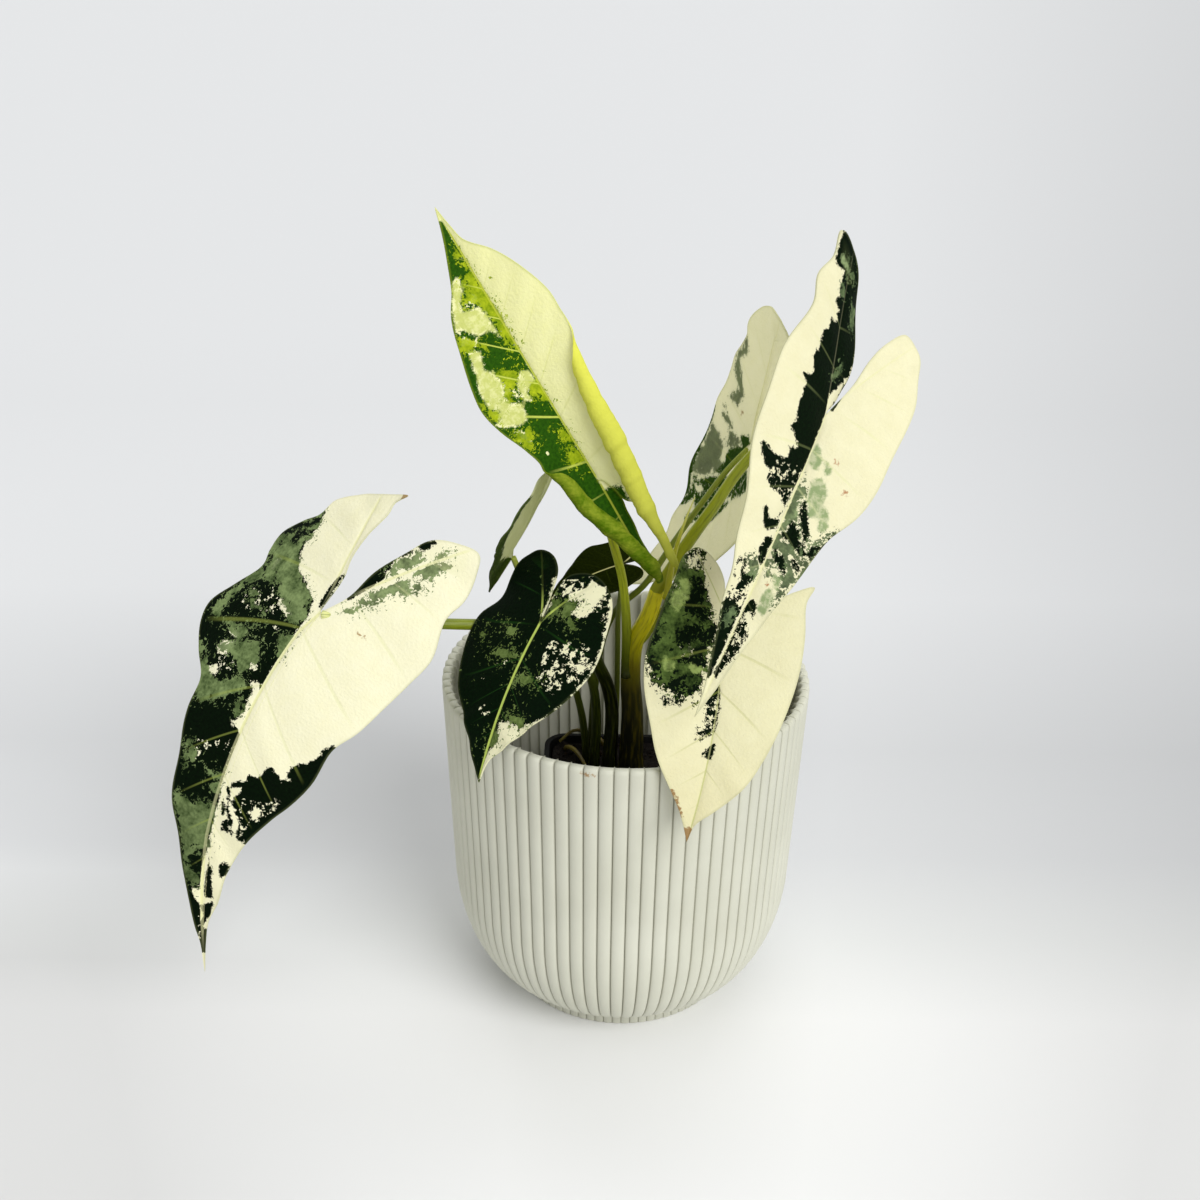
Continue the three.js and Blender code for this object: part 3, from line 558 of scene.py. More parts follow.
def half_blade(leaf, side):
    """Flat triangles of one half of the blade, between the midrib and the margin."""
    outline = smooth_line(np.reshape(leaf["right" if side > 0 else "left"], (-1, 2)), BLADE_STEP)
    outline[:, 0] *= side
    tip = outline[-1, 1]
    midrib = [(0.0, v) for v in np.arange(0, tip - 0.4 * BLADE_STEP, BLADE_STEP)]
    ring = midrib[:1] + [tuple(p) for p in outline[:-1]] + [(0.0, tip)] + midrib[:0:-1]
    ring = [p for i, p in enumerate(ring) if math.dist(p, ring[i - 1]) > 0.12]
    low, high = np.min(ring, axis=0), np.max(ring, axis=0)
    # an even grid, with denser rows along the ribs
    grid = np.array([(x + (i % 2) * BLADE_STEP / 2, y)
                     for i, y in enumerate(np.arange(low[1], high[1], BLADE_STEP * 0.87))
                     for x in np.arange(low[0], high[0], BLADE_STEP)])
    rib_rows = [(side * (beside + float(main_rib(leaf, side, v))), v)
                for beside in (-1.3, -0.8, -0.4, 0.0, 0.4, 0.8, 1.3)
                for v in np.arange(low[1] * 0.85, tip, BLADE_STEP)]
    grid = grid[np.abs(side * grid[:, 0] - main_rib(leaf, side, grid[:, 1])) > RIB_BAND]
    grid = np.vstack([grid, rib_rows])
    grid = grid[inside_distance(grid, ring) > 0.38 * BLADE_STEP]
    points = [Vector(p) for p in ring] + [Vector(p) for p in grid]
    flat, _, faces, *_ = geometry.delaunay_2d_cdt(points, [], [list(range(len(ring)))], 1, 1e-4)
    flat = np.array([tuple(p) for p in flat])
    tri = np.array([f for f in faces if len(f) == 3])
    a, b, c = flat[tri[:, 0]], flat[tri[:, 1]], flat[tri[:, 2]]
    area = (b[:, 0] - a[:, 0]) * (c[:, 1] - a[:, 1]) - (c[:, 0] - a[:, 0]) * (b[:, 1] - a[:, 1])
    tri[area < 0] = tri[area < 0][:, ::-1]
    return flat, tri[np.abs(area) > 1e-7], ring


def blade(name, leaf):
    """The whole blade as one closed sheet with an upper and an under face, its veins pressed into it."""
    rows, values, faces, known = [], [], [], {}
    for side in (1, -1):
        flat, tri, ring = half_blade(leaf, side)
        u, v = flat.T
        start, out = vein_start(leaf, side, u, v)
        vein = np.interp(start, leaf["veins"], np.arange(len(leaf["veins"])))
        margin = np.array([q for q in ring if abs(q[0]) > 1e-6 or q[1] < 0])
        edge = np.minimum(np.hypot(*(flat[:, None] - margin[None]).transpose(2, 0, 1)).min(1), 40)
        # the tissue swells between the side veins, waves at the margin and sinks along the main ribs
        swell = 0.5 - 0.5 * np.cos(2 * math.pi * vein)
        swell = swell * np.clip(np.abs(out) / 5, 0, 1) * np.clip(edge / 7, 0, 1)
        height, spacing = leaf["wave"]
        wave = np.sin(2 * math.pi * (start / spacing + 0.13 * side))
        wave = wave * np.exp(-edge / 7) * np.clip(np.abs(out) / 9, 0, 1)
        inner = np.clip(edge / 3, 0, 1)
        lift = leaf["quilt"] * swell + height * wave - 0.3 * np.exp(-(out / 0.8) ** 2) * inner
        keel = np.exp(-(out / 0.75) ** 2) * np.clip(1 - np.abs(v) / (0.9 * leaf["length"]), 0, 1) * inner
        base, nudge = blade_place(leaf, side, u, v), 0.05
        up = np.cross(blade_place(leaf, side, u + nudge, v) - blade_place(leaf, side, u - nudge, v),
                      blade_place(leaf, side, u, v + nudge) - blade_place(leaf, side, u, v - nudge))
        up /= np.linalg.norm(up, axis=1)[:, None]
        top = base + up * (lift + BLADE_THICKNESS / 2)[:, None]
        bottom = base + up * (lift - BLADE_THICKNESS / 2 - keel)[:, None]
        dark, black, cream, grey, pale, speckle, scar = (
            sector(leaf, key, flat) for key in ("dark", "black", "cream", "grey", "pale", "speckle", "scar"))
        dark = np.minimum(np.maximum(dark, black), -cream)
        own = np.stack([u, v, vein, out, edge, dark, np.minimum(grey, -black), pale, speckle, scar], 1)
        # the halves share the points of the midrib
        index = np.empty(len(flat), int)
        for i in range(len(flat)):
            on_midrib = abs(u[i]) < 1e-5 and v[i] > -1e-5
            key = round(float(v[i]), 3) if on_midrib else (side, i)
            if key not in known:
                known[key] = len(known)
                rows.append((top[i], bottom[i]))
                values.append(own[i])
            index[i] = known[key]
        faces.append(index[tri])
    faces, values = np.vstack(faces), np.array(values)
    rows = np.array(rows) * MM
    count = len(rows)
    edges = np.vstack([faces[:, [0, 1]], faces[:, [1, 2]], faces[:, [2, 0]]])
    _, inverse, times = np.unique(np.sort(edges, axis=1), axis=0, return_inverse=True, return_counts=True)
    a, b = edges[times[inverse.ravel()] == 1].T
    wall = np.stack([b, a, a + count, b + count], 1)
    piece = add_piece(name, np.vstack([rows[:, 0], rows[:, 1]]).tolist(),
                      faces.tolist() + (faces[:, ::-1] + count).tolist() + wall.tolist())
    mesh = piece.data
    bpy.ops.object.shade_smooth()
    rim = np.zeros(2 * count, bool)
    rim[a] = rim[a + count] = True
    pairs = np.empty(len(mesh.edges) * 2, int)
    mesh.edges.foreach_get("vertices", pairs)
    pairs = pairs.reshape(-1, 2)
    sharp = rim[pairs].all(1) & ((pairs[:, 0] < count) == (pairs[:, 1] < count))
    mesh.attributes.new("sharp_edge", "BOOLEAN", "EDGE").data.foreach_set("value", sharp)
    corner = np.empty(len(mesh.loops), int)
    mesh.loops.foreach_get("vertex_index", corner)
    flat_uv = np.tile(values[:, :2], (2, 1))
    mesh.uv_layers.new(name="flat_blade").data.foreach_set("uv", flat_uv[corner].ravel())
    for key, field in zip(FIELDS, values[:, 2:].T):
        set_field(mesh, key, np.tile(field, 2))
    set_field(mesh, "under", np.repeat([0.0, 1.0], count))
    return piece


def blade_skin(name, look):
    """Velvety leaf skin: cream tissue without green, broken up by dark and grey-green blocks of cells."""
    material, tree = new_material(name)
    attribute = {key: node(tree, "Attribute", attribute_name=key).outputs["Fac"]
                 for key in FIELDS + ("under",)}
    unmoved = node(tree, "UVMap", uv_map="flat_blade")
    toward_tip = node(tree, "SeparateXYZ", [unmoved]).outputs["Y"]
    flat = node(tree, "VectorMath", [unmoved, look["seed"]], operation="ADD")
    # wavy blocks of tissue 0.3 to 0.6 mm across, and soft drifts about 3 mm long
    sway = node(tree, "TexNoise", {"Vector": flat, "Scale": 0.6, "Detail": 3}, noise_dimensions="2D")
    sway = node(tree, "VectorMath", [sway.outputs["Color"], (3.6, 3.6, 0), flat], operation="MULTIPLY_ADD")
    block, fine = [node(tree, "SeparateColor", [
        node(tree, "TexVoronoi", {"Vector": sway, "Scale": scale}, voronoi_dimensions="2D").outputs["Color"]
    ]).outputs for scale in (0.8, 1.9)]
    drift, wisps, torn, clump = [
        node(tree, "TexNoise", {"Vector": flat, "Scale": scale, "Detail": detail, "Roughness": roughness},
             noise_dimensions="2D")
        for scale, detail, roughness in ((0.17, 4, 0.6), (0.9, 4, 0.5), (0.32, 6, 0.7), (0.33, 2, 0.5))]
    jag = node(tree, "Math", [block[0], 1, fine[0]], operation="MULTIPLY_ADD")
    jag = node(tree, "Math", [torn, 7, jag], operation="MULTIPLY_ADD")
    jag = node(tree, "Math", [jag, 4.5], operation="SUBTRACT")
    # a sector that ends at a rib ends there in a clean line
    off_rib = node(tree, "Math", [attribute["spine"]], operation="ABSOLUTE")
    beside = node(tree, "MapRange", [off_rib, 0.4, 2.6, 0, look["jag"]])
    jag = node(tree, "Math", [jag, beside], operation="MULTIPLY")
    soft_jag = node(tree, "Math", [jag, look["grey_jag"]], operation="MULTIPLY")
    # tissue colours
    cloudy = node(tree, "MapRange", [drift, 0.36, 0.64, 0, 0.7])
    cloudy = node(tree, "Math", [wisps, 0.9, cloudy], operation="MULTIPLY_ADD")
    cloudy = node(tree, "Math", [cloudy, 0.3], operation="SUBTRACT", use_clamp=True)
    cream, green, grey = [
        node(tree, "Mix", {"Factor": share, "A": look[key][0], "B": look[key][1]}, data_type="RGBA")
        for share, key in ((drift, "cream"), (wisps, "dark"), (cloudy, "grey"))]
    aged = node(tree, "MapRange", [toward_tip, 40, 170])
    cream = node(tree, "Mix", {"Factor": aged, "A": cream, "B": look["cream_tip"]}, data_type="RGBA")
    dim = node(tree, "Math", [aged, look["grey_dims"]], operation="MULTIPLY")
    grey = node(tree, "Mix", {"Factor": dim, "A": grey, "B": green}, data_type="RGBA")
    # single blocks of the other tissue, ever rarer away from a sector's border
    stray = node(tree, "Math", [fine[1], 9], operation="POWER")
    stray_grey = node(tree, "Math", [fine[2], 9], operation="POWER")
    stray_dark = node(tree, "Math", [block[1], 5], operation="POWER")
    # clustered specks where a sector is marbled
    clump = node(tree, "MapRange", [clump, 0.34, 0.66])
    lumpy = node(tree, "Math", [wisps, 2, clump], operation="MULTIPLY_ADD")
    lumpy = node(tree, "Math", [fine[1], 0.4, lumpy], operation="MULTIPLY_ADD")
    lumpy = node(tree, "Math", [lumpy, 0.75], operation="SUBTRACT")
    amount = node(tree, "MapRange", [attribute["speckle"], -0.8, 1.2, -1, look["speck"]])
    speck = node(tree, "Math", [amount, lumpy], operation="GREATER_THAN")
    in_dark = node(tree, "Math", [attribute["dark"], jag], operation="ADD")
    marbled = node(tree, "MapRange", [attribute["speckle"], -1.5, 0.5, -0.8, -look["stray"]])
    in_dark = node(tree, "Math", [stray, marbled, in_dark], operation="MULTIPLY_ADD")
    in_dark = node(tree, "MapRange", [in_dark, -look["blur"], look["blur"]])
    in_dark = node(tree, "Math", [in_dark, speck], operation="SUBTRACT", use_clamp=True)
    in_grey = node(tree, "Math", [attribute["grey"], soft_jag], operation="ADD")
    in_grey = node(tree, "Math", [stray_grey, look["fleck"], in_grey], operation="MULTIPLY_ADD")
    in_grey = node(tree, "Math", [stray_dark, -look["pepper"], in_grey], operation="MULTIPLY_ADD")
    in_grey = node(tree, "MapRange", [in_grey, -look["blur"], look["blur"], 0, 0.95])
    in_pale = node(tree, "Math", [attribute["pale"], soft_jag], operation="ADD")
    in_pale = node(tree, "MapRange", [in_pale, -0.5, 0.5])
    broken = node(tree, "MapRange", [torn, 0.4, 0.56, 0.5, 0.97])
    in_pale = node(tree, "Math", [in_pale, broken], operation="MULTIPLY")
    # side veins lie where the vein count is whole; the midrib and lobe ribs lie where spine is zero
    off_vein = node(tree, "Math", [attribute["vein"], 0.5], operation="PINGPONG")
    vein = node(tree, "MapRange", [off_vein, 0.036, 0.014])
    inner = node(tree, "MapRange", [attribute["edge"], 2, 12])
    vein = node(tree, "Math", [vein, inner], operation="MULTIPLY")
    vein_colour = node(tree, "Mix", {"Factor": in_dark, "A": look["vein_in_cream"], "B": look["vein"]},
                       data_type="RGBA")
    shown = node(tree, "MapRange", [in_dark, 0, 1, look["vein_on_cream"], look["vein_strength"]])
    vein = node(tree, "Math", [vein, shown], operation="MULTIPLY")
    rib = node(tree, "MapRange", [off_rib, look["rib_width"], look["rib_width"] - 0.25])
    lobe = node(tree, "MapRange", [toward_tip, look["lobe_end"], -4, look["lobe_rib"]])
    lit = node(tree, "MapRange", [in_dark, 0, 1, 1, look["rib_on_dark"]])
    clear = node(tree, "MapRange", [attribute["edge"], 0.3, 2])
    for strength in (lobe, lit, clear):
        rib = node(tree, "Math", [rib, strength], operation="MULTIPLY")
    line = node(tree, "MapRange", [attribute["edge"], 0.9, 0.2, 0, look["margin_strength"]])
    # dry brown scars, broken up like old scratches
    scar = node(tree, "Math", [wisps, 3, attribute["scar"]], operation="MULTIPLY_ADD")
    scar = node(tree, "MapRange", [scar, 1.35, 1.9, 0, 0.8])
    # the waxy underside is paler and yellower than the face, green parts of it as well
    under = node(tree, "MapRange", [attribute["under"], 0, 1, 0, look["under_strength"]])
    toward_base = node(tree, "MapRange", [toward_tip, 50, -70])
    bare = node(tree, "Mix", {"Factor": toward_base, "A": look["under"], "B": look["under_base"]},
                data_type="RGBA")
    streaky = node(tree, "Math", [cloudy, 0.6], operation="MULTIPLY")
    leafy = node(tree, "Mix", {"Factor": streaky, "A": look["under_green"], "B": look["under_pale"]},
                 data_type="RGBA")
    below = node(tree, "Mix", {"Factor": in_dark, "A": bare, "B": leafy}, data_type="RGBA")
    # all of it is laid over the cream in turn
    tissue = cream
    for share, over in ((in_dark, green), (in_grey, grey), (in_pale, look["pale"]), (vein, vein_colour),
                        (rib, look["rib"]), (line, look["margin"]), (scar, look["scar"]), (under, below)):
        tissue = node(tree, "Mix", {"Factor": share, "A": tissue, "B": over}, data_type="RGBA")
    relief = node(tree, "Math", [vein, -0.9, wisps], operation="MULTIPLY_ADD")
    pressed = node(tree, "Bump", {"Height": relief, "Strength": 0.5, "Distance": 0.4 * MM})
    velvet = node(tree, "BsdfPrincipled", {
        "Base Color": tissue, "Roughness": 0.6, "Specular IOR Level": look["shine"], "IOR": 1.42,
        "Sheen Weight": look["sheen"], "Sheen Roughness": 0.45, "Normal": pressed})
    through = node(tree, "BsdfTranslucent", {"Color": tissue, "Normal": pressed})
    node(tree, "OutputMaterial", [node(tree, "MixShader", [look["translucence"], velvet, through])])
    return material


# The usual look. Speck, stray, fleck and pepper say how freely cream specks, stray blocks, grey flecks and
# dark flecks are strewn; jag and blur, how far a sector's border wanders and how soft it is, in mm.
LOOK = {"cream": ("#f6f3cd", "#fbf9de"), "cream_tip": "#f4f1cc", "dark": ("#020602", "#091c07"),
        "grey": ("#41532c", "#8a9d66"), "pale": "#b2c48a", "vein": "#a2b052", "vein_in_cream": "#dde0a4",
        "vein_strength": 0.75, "vein_on_cream": 0.2, "rib": "#ecebb4", "rib_width": 0.7, "rib_on_dark": 1.0,
        "lobe_rib": 0.25, "lobe_end": -60.0, "margin": "#8a9460", "margin_strength": 0.2, "scar": "#a0783c",
        "under": "#cfd2a6", "under_base": "#cfd2a6", "under_green": "#6d7c3c", "under_pale": "#8a9660",
        "under_strength": 0.35, "sheen": 0.01, "shine": 0.05, "translucence": 0.2, "speck": 0.5,
        "stray": 3.4, "fleck": 2.6, "pepper": 1.4, "jag": 0.55, "grey_jag": 0.6, "grey_dims": 0.0,
        "blur": 0.1, "seed": (0, 0, 0)}

# Each blade: seat on its stalk; heading, pitch and roll; droop, sweep and twist; fold of the left and right
# half at the base and tip; outlines of both halves and of the coloured sectors, as u and v by turns.
LEAVES = {}
LEAVES["large_left_leaf"] = dict(
    node="leaf_a", seat=(-110, -30, 173), turned=(-152, -46, -39), bend=(22, -31, 8),
    fold=((5, 10), (-18, 10)), curl=-3, length=131, lobe_ribs=((24, -44), (13, -42)), vein_lean=0.3,
    veins=[-40, -26, -12, 7.5, 32, 50, 67.5, 85, 100, 113, 124], quilt=0.45, wave=(0.7, 31), rib_bow=2.4,
    right=[0.5,-2, 1.7,-16, 4.6,-23, 5.6,-33, 5.2,-43, 6.4,-47.5, 5,-50, 2.7,-52.9, 6.4,-51.4, 9.8,-49.6,
        16,-46.4, 23,-43.3, 27,-40.3, 31.5,-36.4, 34,-33, 34,-26, 39,-20, 44,-11, 42,-4, 38,2, 41,12, 45,22,
        43,28, 36,36, 28,43, 26,53, 22,69, 18,84, 11,99, 6,116, 3,127, 1,134, 0,146],
    left=[0.5,-2, 5,-12, 7,-25, 11,-36, 16,-46, 24,-51, 33,-53, 37,-46, 39,-37, 38,-28, 43,-14, 42,-2, 40,12,
        37,27, 32,39, 30,56, 26,67, 20,77, 13,90, 8,103, 6,115, 2,125, 1,134, 0,146],
    dark=[[35,-31, 31,-25, 29,-21, 28,-17, 27,-12, 21,-6, 16,-6, 10,-4, 6,-3, 3,1, 3,36, 5,40, 4,43, 5,46,
        7,49, 4,50, 2,52, 2,71, 1,75, 1,96, 2,102, 2,116, 1,121, 1,129, 9,150, 30,120, 50,60, 55,20, 55,-20,
        48,-50, 38,-64], [-32,36, -29,40, -29,42, -28,45, -25,49, -22,51, -21,54, -20,56, -22,58, -20,59,
        -17,58, -15,57, -13,57, -12,60, -10,63, -7,63, -7,66, -4,67, -2,69, -2,71, -5,70, -6,69, -6,71, -4,74,
        -4,77, -9,82, -9,86, -10,89, -13,89, -36,104, -46,60], [0,71, -2,72, -3,74.5, -3.5,78, -7,82.5,
        -7.5,88, -6,86.5, -5,82.5, -2.5,79.5, -2,75], [0,76.5, -1.5,77, -2.5,79.5, -2,82], [-2,84.5,
        -4.5,82.5, -6.5,86, -5,88, -3,87.5], [-4,100.5, -6.5,99, -8.5,100, -8,103, -6.5,106, -5,105], [0,98.5,
        -2.5,104.5, -3.5,114.5, -0.5,116, 0.5,113.5], [1.5,118.5, -4,116, -3.5,120.5, -1,125, 1,129.5,
        1.5,126.5, 0,122.5], [-3,128, 1,127, 2,138, -2,138], [2.5,-17, 4,-14.5, 4,-10.5, 3.5,-6.5, 2,-2,
        0.5,-2.5, 1.5,-16.5], [0,-16.5, 0.5,-13, 0.5,-2, 0,-1, -0.5,-5, -0.5,-16], [-2,-18, -6,-27.5,
        -7.5,-32.5, -9.5,-36, -12,-39, -14,-39.5, -12,-35.5, -10,-33, -11,-29, -10,-27, -11.5,-25.5, -6.5,-12,
        -5.5,-10.5, -3.5,-12.5, -3,-14.5, -3.5,-17], [-13.5,-41, -14.5,-44.5, -16,-47, -19,-47, -17.5,-45,
        -17.5,-43, -15.5,-41]],
    grey=[[35,-27, 44,-13, 46,-6, 41,-2, 39,1, 39,7, 42,21, 41,25, 38,25, 36,23, 38,21, 36,10, 32,5, 28,4,
        23,3, 16,6, 13,6, 11,8, 8,9, 4,7, 3,3, 6,0, 6,-3, 20,-6, 22,-7, 23,-9, 28,-12, 29,-14, 28,-18,
        30,-25], [33,23, 29,21, 22,20, 21,17, 19,17, 21,20, 20,22, 24,25, 28,25], [28,29, 22,24, 18,23, 13,20,
        11,22, 9,27, 11,30, 14,34, 18,31, 27,32, 29,31], [39,34, 37,33, 32,35, 24,40, 19,40, 14,34, 10,35,
        8,36, 10,39, 21,49, 24,50, 32,40], [8.5,14.5, 5,12, 2.5,11.5, 2.5,17, 2,21, 4,21, 6,17.5], [29.5,12.5,
        27,11, 24,13, 26.5,14.5], [33,11, 31,9, 27,8.5, 28.5,10.5, 31.5,12], [23.5,11.5, 20,12, 17.5,13.5,
        20,14], [9.5,42.5, 5.5,41.5, 4,42, 4.5,45, 6,47.5, 8,46], [23,63, 20,62, 16,64, 14,68, 17,69, 18,71,
        21,68, 19,66], [9.5,68, 2.5,67.5, 3,70, 6,70.5, 7.5,70], [6.5,73, 2.5,70.5, 1.5,73.5, 1.5,75.5, 5,75],
        [19,80, 14,81, 10,81, 6,79, 1,80, 1,90, 0,95, 3,97, 5,97, 7,101, 6,105, 3,107, 2,109, 2,113, 5,112,
        7,109, 13,91, 17,85], [-9,-31, -14,-38, -14,-41, -19,-40, -16,-31, -13,-28, -12,-25, -10,-28,
        -11,-30], [-22,-42, -21.5,-44.5, -22.5,-46.5, -24.5,-48, -25,-46], [-18,-31, -19,-35, -22,-41,
        -25,-43, -28,-44, -28,-43, -25,-37, -26,-35], [-6,-6.5, -10,-12.5, -11,-16, -16.5,-19.5, -15.5,-16.5,
        -13,-13.5, -10,-8], [-7,-10, -16,-28, -19,-31, -26,-32, -21,-25, -17,-22, -16,-19, -12,-17, -10,-13]],
    cream=[[18,5.5, 16,5, 12.5,6.5, 9.5,5.5, 9,7.5, 10.5,8, 17.5,7], [35,-2.5, 33,-4.5, 31.5,-2, 31.5,1],
        [28.5,31.5, 28.5,29.5, 24.5,27, 22.5,26.5, 23.5,29, 24,32, 27,32.5], [27.5,38, 24.5,36, 23,37,
        23,39.5, 25,40], [11.5,29, 10,27.5, 9,28.5, 11,30.5], [13,13.5, 10.5,13, 10,14, 11,14.5], [27.5,25,
        25.5,23.5, 22.5,24, 25,25.5], [7,33, 4,32, 3,35, 3,39, 5,40, 5,35, 7,34], [4.5,112.5, 2,112.5,
        1.5,117.5, 3,117, 4.5,114.5], [-12.5,75.5, -14.5,74, -16,75.5, -14.5,78.5, -13.5,78.5], [-19,71.5,
        -21.5,68, -21,70.5, -20,73]],
    speckle=[[-6,72, -15,70, -21,66, -20,73, -16,78, -13,87, -10,88], [35,15, 32,8, 25,3, 18,6, 15,11, 21,13,
        28,17], [25,33, 20,30, 15,32, 18,37, 23,36], [20,61, 11,57, 4,55, 3,59, 12,64, 15,70]],
    black=[[36,-11.5, 37,-16.5, 29.5,-21, 29,-20, 32.5,-14, 33,-11.5], [33.5,-24.5, 31,-24, 34.5,-19,
        39.5,-14.5, 42,-11, 44,-13, 40,-18], [42,-8.5, 39.5,-9.5, 37.5,-8, 39,-7.5], [39.5,-2.5, 38.5,-3.5,
        36,-2, 34.5,0.5, 36.5,0], [29,2, 27.5,0.5, 26,1.5, 28,2.5], [37.5,1.5, 34.5,2, 34,3], [20.5,36.5,
        19,34.5, 17.5,37, 19,38.5], [19.5,31.5, 18,30.5, 16.5,33, 18,33.5]],
    scar=[[-15.5,-4.5, -19.5,-5.5, -20,-4.5, -17,-4], [5,-55, 1,-55, 2,-50.6, 5,-50.2]],
    look=dict(cream=("#f3efca", "#f8f5d8"), cream_tip="#efebc4", dark=("#010401", "#071805"), seed=(3, 7, 0),
        speck=0.5, translucence=0.16, jag=0.45, vein_strength=0.36, rib_on_dark=0.35, lobe_rib=0.5,
        vein_on_cream=0.3, grey_dims=0.7, fleck=4.2, pepper=2.6))
LEAVES["tall_right_leaf"] = dict(
    node="leaf_e", seat=(66, -13, 244), turned=(-116, -35, -42), bend=(18, -4, -23),
    fold=((11, 20), (26, 20)), curl=-3, length=115, lobe_ribs=((21, -44), (20, -48)), vein_lean=0.1,
    veins=[-44, -30, -17, -4, 14, 29, 44, 59, 73, 86, 98, 108], quilt=0.5, wave=(0.9, 27),
    right=[0.3,-2, -3,-10, -4,-20, -1,-29, 5,-41, 14,-50, 24,-55, 34,-54, 30,-46, 33,-35, 29,-26, 30,-5,
        27,16, 20,36, 14,53, 9,73, 5,90, 1.4,104, 0,115],
    left=[0.3,-2, 5,-16, 8,-30, 12,-41, 18,-49, 25,-47, 30,-35, 30,-15, 28,4, 24,28, 17,42, 13,58, 10,70,
        6,86, 3,102, 0,115],
    dark=[[30,-48, 28,-45, 26,-44, 23,-46, 20,-38, 20,-35, 16,-34, 15,-30, 18,-29, 18,-25, 19,-23, 17,-17,
        18,-12, 16,-10, 15,-7, 18,-5, 15,-3, 14,9, 12,11, 14,12, 13,14, 7,17, 10,20, 9,23, 13,25, 17,25,
        20,23, 21,25, 17,30, 14,31, 13,34, 10,36, 7,35, 2,38, 2,45, 0,20, 0,3, 2,-8, -4,-21, -1,-30, 2,-44,
        11,-54, 24,-58, 34,-55], [10,42, 8,42, 6,44, 1,43, 1,46, 3,48, 6,48], [1,49, 4,51, 5,55, 3,59, 1,60,
        0,58, 1,54, 0,50], [10,62, 8,60, 6,62, 6,64, 1,64, 1,102, 2,102, 5,93, 7,83, 7,78, 8,77, 8,69, 10,66],
        [0,-3, -3,-11, -4,-21, -5,-21, -2,-3], [-1,72, -3,72, -4,75, -4,78, -2,76, -1,77, -5,84, -4,92,
        -1,101, 1,99, 0,95, 0,74]],
    grey=[[22,-42, 18,-42, 15,-39, 20,-38], [12.5,-41.5, 7,-42, 3,-33.5, 7.5,-34.5], [25.5,-50.5, 21,-51.5,
        14,-47, 19.5,-46.5], [4,-20, 3,-22, 1,-19, 3,-14, 6,-13], [7,61, 7,59, 4,58, 1,61, 1,66, 4,65], [5,78,
        4,77, 2,78, 2,82, 3,84, 6,83], [-1,24, -5,31, -3,33, -3,37, -7,43, -12,46, -16,40, -18,38, -19,39,
        -14,56, -10,65, -10,70, -9,74, -8,70, -8,63, -2,57, 0,52, 0,33], [0,58.5, 0,55, -2,57.5, -3.5,61.5,
        -3,63]],
    pale=[[28,-49, 23,-49, 20,-47, 27,-47], [0,16, -1,11, -4,14, -5,20, -3,21, -1,19], [-5.5,15.5, -8.5,17,
        -9,21, -7.5,21], [-4,25, -7,22, -10,26, -11,31, -14,35, -15,40, -12,41, -11,37, -8,38, -5,32], [-4,69,
        -5,66, -8,68, -8,72, -7,76, -4,74], [-4.5,61, -7.5,62.5, -8,66, -6,65.5], [-2,37.5, -3,35, -4,38.5,
        -3.5,40]],
    cream=[[10,65, 8,62, 6,70, 6,74, 8,73, 8,69], [2,68, 1,66.5, 1.5,73, 1.5,76, 3,75], [-8.5,37.5,
        -10.5,37.5, -11.5,41, -10,41.5]],
    black=[[-3,33, -5,32, -10,43, -10,47, -12,51, -11,53, -8,45, -5,41], [-1,46, -3,46, -2,41, -4,41, -7,44,
        -9,48, -10,52, -5,49, -3,49], [-1,52, -6,55, -8,58, -8,61, -5,59, -2,56], [-6.5,53, -9.5,53.5,
        -12.5,56, -12,58.5, -9.5,57], [-12,47, -15,46, -15,49, -14,53.5, -12,50.5], [-16.5,41.5, -18,38.5,
        -22.5,32.5, -23,33.5, -19,39.5, -17,46, -15.5,49, -15,46]],
    speckle=[[15,29, 3,21, 0,34, 9,37], [12,64, 2,62, 1,73, 7,75], [0,74, -4,78, -6,86, -2,98, 0,98]],
    scar=[[-8.5,13.5, -9.5,13, -10.5,15, -9,15], [-15,23, -16.5,22.5, -17,24.5, -15.5,25], [-3,65, -4,64,
        -4.5,66, -4,66.5]],
    look=dict(cream=("#e6e1ba", "#eeeac9"), cream_tip="#f0ecc6", rib="#e6e4b4", rib_width=0.45,
        vein="#97a468", seed=(31, 2, 0), vein_strength=0.22, scar="#a8622c", rib_on_dark=0.15,
        vein_on_cream=0.3, pale="#93a574", grey=("#33442a", "#73865a"), pepper=2.2))
